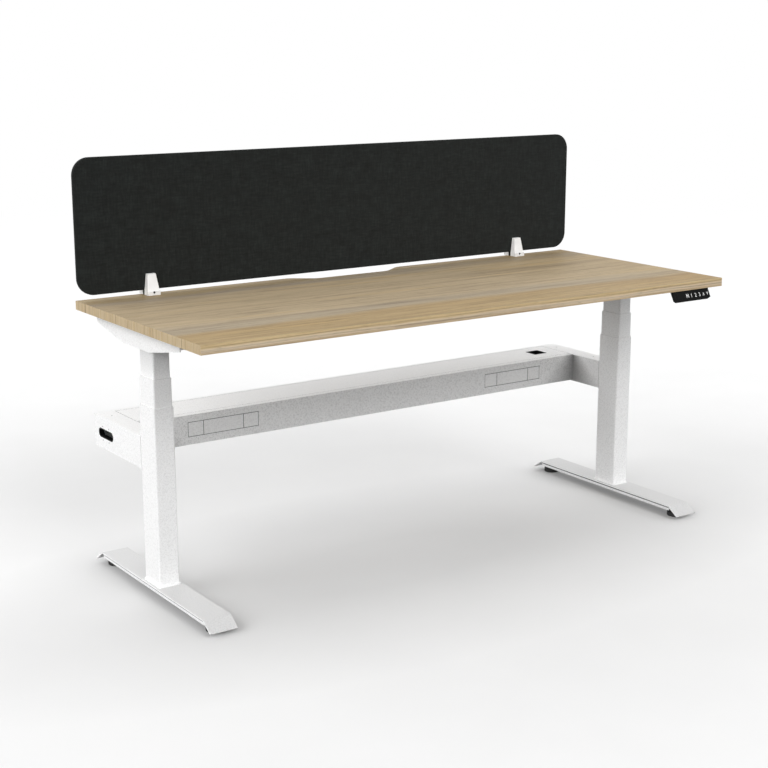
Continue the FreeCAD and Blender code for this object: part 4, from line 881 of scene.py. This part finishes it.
# Profiles: a knob's share of its radius by height, a pad's radius by depth under its top
KNOB_STEPS = 48
PAD_STEPS = 32
KNOB_RADIUS = 10 * MM
KNOB_TOP = 9 * MM
KNOB_PROFILE = ((0.86, 0.0), (1.0, 1.2 * MM), (1.0, 7.6 * MM), (0.86, KNOB_TOP))
PAD_HEIGHT = 4 * MM
PAD_PROFILE = ((9 * MM, 4 * MM), (9 * MM, 0.6 * MM), (8.4 * MM, 0.0))
STEM_RADIUS = 4 * MM
STEM_PITCH = 1.5 * MM


def hexagon(angle):
    """How far a hexagon reaches at an angle, against its corners."""
    sixth = math.tau / 6
    return math.cos(sixth / 2) / math.cos(angle % sixth - sixth / 2)


def lobes(angle):
    """How far a grip with twelve lobes reaches at an angle."""
    return 0.94 + 0.06 * math.cos(12 * angle)


def add_shank(made, place, radius, length, pitch, tip=0.8):
    """A threaded shank that runs down from the seat of a head."""
    rows = max(2, int(length * THREADED / pitch) * 2)
    profile = [(radius, 0.0)]
    for row in range(1, rows + 1):
        crest = radius if row % 2 else radius * ROOT
        profile.append((crest, -length * THREADED * row / rows))
    profile.append((radius * tip, -length))
    loops = rings(made, profile, SHANK_STEPS, place)
    made.faces.new(loops[0])
    made.faces.new(list(reversed(loops[-1])))


def add_screw(made, seat, axis, kind, length):
    """A whole screw of a kind: a domed head with its recess, and a threaded shank."""
    place = Matrix.Translation(seat) @ facing(axis)
    radius, height, shank, pitch, outline, size, depth = kind
    add_screw_head(made, place, radius, height, outline(size), depth)
    add_shank(made, place, shank, length, pitch)


def screw_piece(name, node, body, made, *materials):
    """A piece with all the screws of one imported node."""
    piece = add_piece(name, mesh_from(name, made, False), body, materials)
    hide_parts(node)


def build_small_screws():
    """Cross-head screws of the arm covers, and of the oval cable ports at both ends."""
    made = bmesh.new()
    head = COVER_SCREW[1]
    for low, high in islands("small_screws"):
        middle = (low + high) / 2
        size = high - low
        if size.z < size.x:
            seat = Vector((middle.x, middle.y, high.z - head))
            add_screw(made, seat, (0, 0, 1), COVER_SCREW, size.z - head)
        else:
            side = 1 if middle.x > 0 else -1
            edge = high.x if side > 0 else low.x
            seat = Vector((edge - side * head, middle.y, middle.z))
            add_screw(made, seat, (side, 0, 0), COVER_SCREW, size.x - head)
    screw_piece("cross_head_screws", "small_screws", "base", made, PAINTED, PAINTED_SCREW_SHADE)


def build_frame_screws():
    """Pan-head screws that rise through the frame into the worktop."""
    made = bmesh.new()
    for low, high in islands("frame_screws"):
        middle = (low + high) / 2
        seat = Vector((middle.x, middle.y, low.z + FRAME_SCREW[1]))
        add_screw(made, seat, (0, 0, -1), FRAME_SCREW, high.z - seat.z)
    screw_piece("pan_head_screws", "frame_screws", "lift", made, FINISHES["zinc_steel"], STEEL_RECESS_SHADE)


def build_column_bolts():
    """Hexagon bolts that come up through the foot into the column's plate."""
    made = bmesh.new()
    for low, high in islands("column_bolts"):
        middle = (low + high) / 2
        seat = Vector((middle.x, middle.y, low.z + BOLT_HEAD))
        place = Matrix.Translation(seat) @ facing((0, 0, -1))
        washer = ((BOLT_RADIUS, 0.0), (BOLT_RADIUS, BOLT_WASHER))
        cap(made, rings(made, washer, BOLT_STEPS, place))
        profile = (
            (BOLT_RADIUS, BOLT_WASHER),
            (BOLT_RADIUS, BOLT_EDGE),
            (BOLT_RADIUS * 0.92, BOLT_HEAD),
        )
        cap(made, rings(made, profile, BOLT_STEPS, place, hexagon))
        add_shank(made, place, BOLT_SHANK, high.z - seat.z, BOLT_PITCH)
    screw_piece("hexagon_bolts", "column_bolts", "base", made, FINISHES["zinc_steel"])


def build_bracket_screws():
    """Socket screws that draw the two jaws of each bracket together."""
    made = bmesh.new()
    for low, high in islands("bracket_screws"):
        middle = (low + high) / 2
        radius = (high.x - low.x) / 2
        seat = Vector((middle.x, low.y + SOCKET_HEAD, middle.z))
        recess = (hexagon_outline, radius * 0.62, SOCKET_DEPTH)
        kind = (radius, SOCKET_HEAD, radius * 0.8, SOCKET_PITCH, *recess)
        add_screw(made, seat, (0, -1, 0), kind, high.y - seat.y)
    screw_piece("socket_screws", "bracket_screws", "lift", made, DARK_STEEL, STEEL_RECESS_SHADE)


def build_clamp_screws():
    """The clamps' thumb screws: a lobed knob, a threaded stem and a soft pad."""
    made = bmesh.new()
    for low, high in islands("clamp_screws"):
        middle = (low + high) / 2
        start = len(made.faces)
        place = Matrix.Translation((middle.x, middle.y, low.z))
        profile = [(share * KNOB_RADIUS, height) for share, height in KNOB_PROFILE]
        cap(made, rings(made, profile, KNOB_STEPS, place, lobes))
        top = high.z - low.z
        profile = [(radius, top - depth) for radius, depth in PAD_PROFILE]
        cap(made, rings(made, profile, PAD_STEPS, place))
        made.faces.ensure_lookup_table()
        for face in made.faces[start:]:
            face.material_index = 1
        stem = Matrix.Translation((middle.x, middle.y, high.z - PAD_HEIGHT))
        length = top - PAD_HEIGHT - KNOB_TOP
        add_shank(made, stem, STEM_RADIUS, length, STEM_PITCH, 1.0)
    materials = (FINISHES["zinc_steel"], FINISHES["black_plastic"])
    screw_piece("thumb_screws", "clamp_screws", "lift", made, *materials)


# Seams and seals, and strips of painted shade in gaps
COVER_GAP = 1.2 * MM
COVER_SHADE_BOTTOM = 0.1 * MM
COVER_SHADE_TOP = 0.05 * MM
OUTLET_LIP = 6 * MM
OUTLET_GAP = 1.5 * MM
OUTLET_FIELD = 48 * MM
OUTLET_GROOVE = 1.8 * MM

# How deep the painted shade strip lies under an outlet's face, and where it ends round it and in a groove
OUTLET_SHADE_TOP = 0.4 * MM
OUTLET_SHADE_BACK = 1.9 * MM
GROOVE_BACK = 1.2 * MM

FOOT_SHADE_HEIGHT = 4 * MM
FOOT_SHADE_OUT = 0.5 * MM
FOOT_SHADE_IN = 3 * MM
TUBE_ROUND = 5 * MM
SEAL_WIDTH = 1 * MM
SEAL_HEIGHT = 1.5 * MM
SHADE_RING_WIDTH = 2.2 * MM
SHADE_RING_SINK = 0.2 * MM
SHADE_RING_RISE = 0.8 * MM

# A box's six sides, by the numbers of its corners
BOX_SIDES = (
    (0, 1, 3, 2),
    (4, 6, 7, 5),
    (0, 4, 5, 1),
    (2, 3, 7, 6),
    (0, 2, 6, 4),
    (1, 5, 7, 3),
)


def add_bar(made, low, high):
    """A straight strip between two corners."""
    corners = [
        made.verts.new((x, y, z))
        for x in (low[0], high[0])
        for y in (low[1], high[1])
        for z in (low[2], high[2])
    ]
    for quad in BOX_SIDES:
        made.faces.new([corners[index] for index in quad])


def seam_piece(name, made, material, body="base"):
    """A piece of thin trim, or a strip of painted shade, with flat faces."""
    add_piece(name, mesh_from(name, made, False), body, (material,))


def build_cover_gap_shade():
    """A strip of painted shade in the gap that runs round the beam's cover."""
    low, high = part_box("beam_cover")
    bottom, top = low.z + COVER_SHADE_BOTTOM, high.z - COVER_SHADE_TOP
    left, right = low.x - COVER_GAP, high.x + COVER_GAP
    front, rear = low.y - COVER_GAP, high.y + COVER_GAP
    made = bmesh.new()
    add_bar(made, (left, front, bottom), (right, low.y, top))
    add_bar(made, (left, high.y, bottom), (right, rear, top))
    add_bar(made, (left, low.y, bottom), (low.x, high.y, top))
    add_bar(made, (high.x, low.y, bottom), (right, high.y, top))
    seam_piece("cover_gap_shade_strips", made, COVER_GAP_SHADE)


def build_foot_gap_shade():
    """A grey strip of painted shade that shows as a thin line between each foot plate and its channel."""
    made = bmesh.new()
    for low, high in islands("foot_channels"):
        bottom = high.z - FOOT_SHADE_HEIGHT
        add_bar(made, (low.x - FOOT_SHADE_OUT, low.y, bottom), (low.x + FOOT_SHADE_IN, high.y, high.z))
        add_bar(made, (high.x - FOOT_SHADE_IN, low.y, bottom), (high.x + FOOT_SHADE_OUT, high.y, high.z))
    seam_piece("foot_gap_shade_strips", made, SEAL_AND_SHADE_GREY)


def build_outlet_gap_shade():
    """Dark strips of painted shade round the two blanking plates and in their break-out grooves."""
    made = bmesh.new()
    for low, high in islands("outlet_blanks"):
        face, back = low.y + OUTLET_SHADE_TOP, low.y + OUTLET_SHADE_BACK
        left, right = low.x + OUTLET_LIP, high.x - OUTLET_LIP
        bottom, top = low.z + OUTLET_LIP, high.z - OUTLET_LIP
        far_left, far_right = left - OUTLET_GAP, right + OUTLET_GAP
        add_bar(made, (far_left, face, bottom - OUTLET_GAP), (far_right, back, bottom))
        add_bar(made, (far_left, face, top), (far_right, back, top + OUTLET_GAP))
        add_bar(made, (far_left, face, bottom), (left, back, top))
        add_bar(made, (right, face, bottom), (far_right, back, top))
        for start in (left + OUTLET_FIELD, right - OUTLET_FIELD - OUTLET_GROOVE):
            end = (start + OUTLET_GROOVE, low.y + GROOVE_BACK, top)
            add_bar(made, (start, face, bottom), end)
    seam_piece("outlet_gap_shade_strips", made, OUTLET_GAP_SHADE)


def tube_ring(around, width, bottom, top):
    """A flat ring with round corners, against a tube's box in plan."""
    low, high = around
    middle, half = (low + high) / 2, (high - low) / 2
    made = bmesh.new()
    loops = []
    for grow in (0.0, width):
        for z in (bottom, top):
            loop = []
            for sx, sy, first in ((1, 1, 0), (-1, 1, 90), (-1, -1, 180), (1, -1, 270)):
                for step in range(5):
                    angle = math.radians(first + 90 * step / 4)
                    reach = TUBE_ROUND + grow
                    x = middle.x + sx * (half.x - TUBE_ROUND) + reach * math.cos(angle)
                    y = middle.y + sy * (half.y - TUBE_ROUND) + reach * math.sin(angle)
                    loop.append(made.verts.new((x, y, z)))
            loops.append(loop)
    for first, second in ((0, 1), (1, 3), (3, 2), (2, 0)):
        join_loops(made, loops[first], loops[second])
    return made


def build_seals_and_shade_rings():
    """A seal round each column's foot, and wiper rings of painted shade on its outer and middle tubes."""
    for side in SIDES:
        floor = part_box(f"{side}_foot_plate")[1].z
        seal = tube_ring(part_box(f"{side}_outer_tube"), SEAL_WIDTH, floor, floor + SEAL_HEIGHT)
        seam_piece(f"{side}_base_seal", seal, SEAL_AND_SHADE_GREY)
        for stage, within, body in (
            ("outer", "middle", "base"),
            ("middle", "inner", f"{side}_middle"),
        ):
            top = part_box(f"{side}_{stage}_tube")[1].z
            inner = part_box(f"{side}_{within}_tube")
            ring = tube_ring(inner, SHADE_RING_WIDTH, top - SHADE_RING_SINK, top + SHADE_RING_RISE)
            seam_piece(f"{side}_{stage}_tube_shade_ring", ring, SHADE_RING_GREY, body)


build_screen()
build_labels()
build_small_screws()
build_frame_screws()
build_column_bolts()
build_bracket_screws()
build_clamp_screws()
build_cover_gap_shade()
build_foot_gap_shade()
build_outlet_gap_shade()
build_seals_and_shade_rings()

# Stage
FLOOR_REACH = 40.0
# The floor's colour at the front and the rear, a little lighter behind as painted light, and its painted shadow
FLOOR_FRONT = grey(239)
FLOOR_REAR = grey(241)
FLOOR_SHADE = grey(214)
REAR_START = 0.0
REAR_END = 0.8

# The floor's shade: how its coordinates are scaled and shifted, and from which
# distance to which it fades
SHADE_SCALE = (0.72, 1.75, 0.0)
SHADE_SHIFT = (0.108, 0.21, 0.0)
SHADE_START = 0.3
SHADE_END = 1.2
FLOOR_BOUNCE = grey(110)
FADE_START = 3.0
FADE_END = 9.0

# The studio's light by height above the horizon, as the sine of an angle and a level
SKY_LEVELS = ((0.0, 0.75), (0.25, 0.85), (0.35, 1.65), (0.62, 1.65), (0.72, 0.2), (1.0, 0.2))
SKY_PEAK = 2.0

# Lamps: the azimuth from -Y towards -X, the elevation and the spread in degrees, and
# a level at which 1 is white
LAMPS = (
    ("left_lamp", 84.0, 24.0, 50.0, 0.4),
    ("front_lamp", -4.0, 42.0, 30.0, 0.2),
    ("top_lamp", 30.0, 80.0, 50.0, 0.04),
    ("rear_lamp", 180.0, 32.0, 60.0, 0.13),
)


def make_lamps():
    """Large soft lamps over the left, the front, the top and the rear."""
    for name, azimuth, elevation, spread, level in LAMPS:
        data = bpy.data.lights.new(name, "SUN")
        data.angle = math.radians(spread)
        data.energy = level * math.pi
        lamp = bpy.data.objects.new(name, data)
        lamp.rotation_euler = (math.radians(90 - elevation), 0, math.radians(-azimuth))
        bpy.context.scene.collection.objects.link(lamp)


def make_floor():
    """A pale floor that keeps the shadow near the desk and turns plain white far away.

    Its colour is painted shadow, a little darker under the desk, and painted light, a little
    lighter towards the rear. Light that bounces off it to the desk comes from a darker grey.
    """
    finish = Finish("studio floor", Roughness=0.9, Specular_IOR_Level=0.0)
    dust_and_top_shade = finish.noise(finish.coordinates, 3, 2)
    depth = finish.span(finish.parts(finish.coordinates)[1], REAR_START, REAR_END)
    about = finish.length(finish.stretch(*SHADE_SCALE, None, SHADE_SHIFT))
    fade = finish.span(finish.length(finish.coordinates), FADE_START, FADE_END)
    rays = finish.add("ShaderNodeLightPath").outputs
    seen = finish.sum("MAXIMUM", rays["Is Camera Ray"], rays["Is Glossy Ray"])
    seen = finish.sum("MAXIMUM", seen, rays["Is Transmission Ray"])
    # The colour the camera sees, lighter to the rear as painted light and darker under the desk as painted shadow
    shown = finish.mix(depth, FLOOR_FRONT, FLOOR_REAR)
    shown = finish.mix(finish.span(about, SHADE_START, SHADE_END), FLOOR_SHADE, shown)
    clouds = finish.ramp(dust_and_top_shade, (0.3, grey(253)), (0.7, grey(255)))
    shown = finish.tint(1.0, shown, clouds)
    finish.colour(finish.mix(seen, FLOOR_BOUNCE, shown))
    glow = finish.add("ShaderNodeEmission")
    blend = finish.add("ShaderNodeMixShader")
    finish.feed(blend.inputs[0], finish.sum("MULTIPLY", fade, seen))
    finish.feed(blend.inputs[1], finish.shader.outputs[0])
    finish.feed(blend.inputs[2], glow.outputs[0])
    output = [node for node in finish.tree.nodes if node.type == "OUTPUT_MATERIAL"][0]
    finish.feed(output.inputs["Surface"], blend.outputs[0])
    made = bmesh.new()
    corners = ((-1, -1), (1, -1), (1, 1), (-1, 1))
    spots = [(x * FLOOR_REACH, y * FLOOR_REACH, 0) for x, y in corners]
    made.faces.new([made.verts.new(spot) for spot in spots])
    floor = bpy.data.objects.new("floor", mesh_from("floor", made, False))
    floor.data.materials.append(finish.material)
    bpy.context.scene.collection.objects.link(floor)


def make_world():
    """A white studio, brightest at a middle height all round, and seen as plain white."""
    world = bpy.data.worlds.new("studio")
    world.use_nodes = True
    tree = world.node_tree

    def add(kind, values, **properties):
        node = tree.nodes.new(kind)
        for label, value in properties.items():
            setattr(node, label, value)
        for socket, value in zip(node.inputs, values):
            if isinstance(value, bpy.types.NodeSocket):
                tree.links.new(value, socket)
            elif value is not None:
                socket.default_value = value
        return node

    rays = add("ShaderNodeLightPath", ()).outputs
    direct = (rays["Is Camera Ray"], rays["Is Glossy Ray"])
    seen = add("ShaderNodeMath", direct, operation="MAXIMUM")
    through = (seen.outputs[0], rays["Is Transmission Ray"])
    seen = add("ShaderNodeMath", through, operation="MAXIMUM")
    direction = add("ShaderNodeTexCoord", ()).outputs["Generated"]
    height = add("ShaderNodeSeparateXYZ", (direction,)).outputs["Z"]
    sky = add("ShaderNodeValToRGB", (height,))
    stops = sky.color_ramp.elements
    while len(stops) < len(SKY_LEVELS):
        stops.new(1.0)
    for stop, (position, level) in zip(stops, SKY_LEVELS):
        stop.position = position
        share = level / SKY_PEAK
        stop.color = (share, share, share, 1)
    lit = add("ShaderNodeMath", (sky.outputs["Color"], SKY_PEAK), operation="MULTIPLY")
    strength = add("ShaderNodeMapRange", (seen.outputs[0], 0.0, 1.0, lit.outputs[0], 1.0))
    background = tree.nodes["Background"]
    background.inputs["Color"].default_value = (1, 1, 1, 1)
    tree.links.new(strength.outputs["Result"], background.inputs["Strength"])
    bpy.context.scene.world = world


make_floor()
make_world()
make_lamps()
bpy.context.scene.view_settings.view_transform = "Standard"
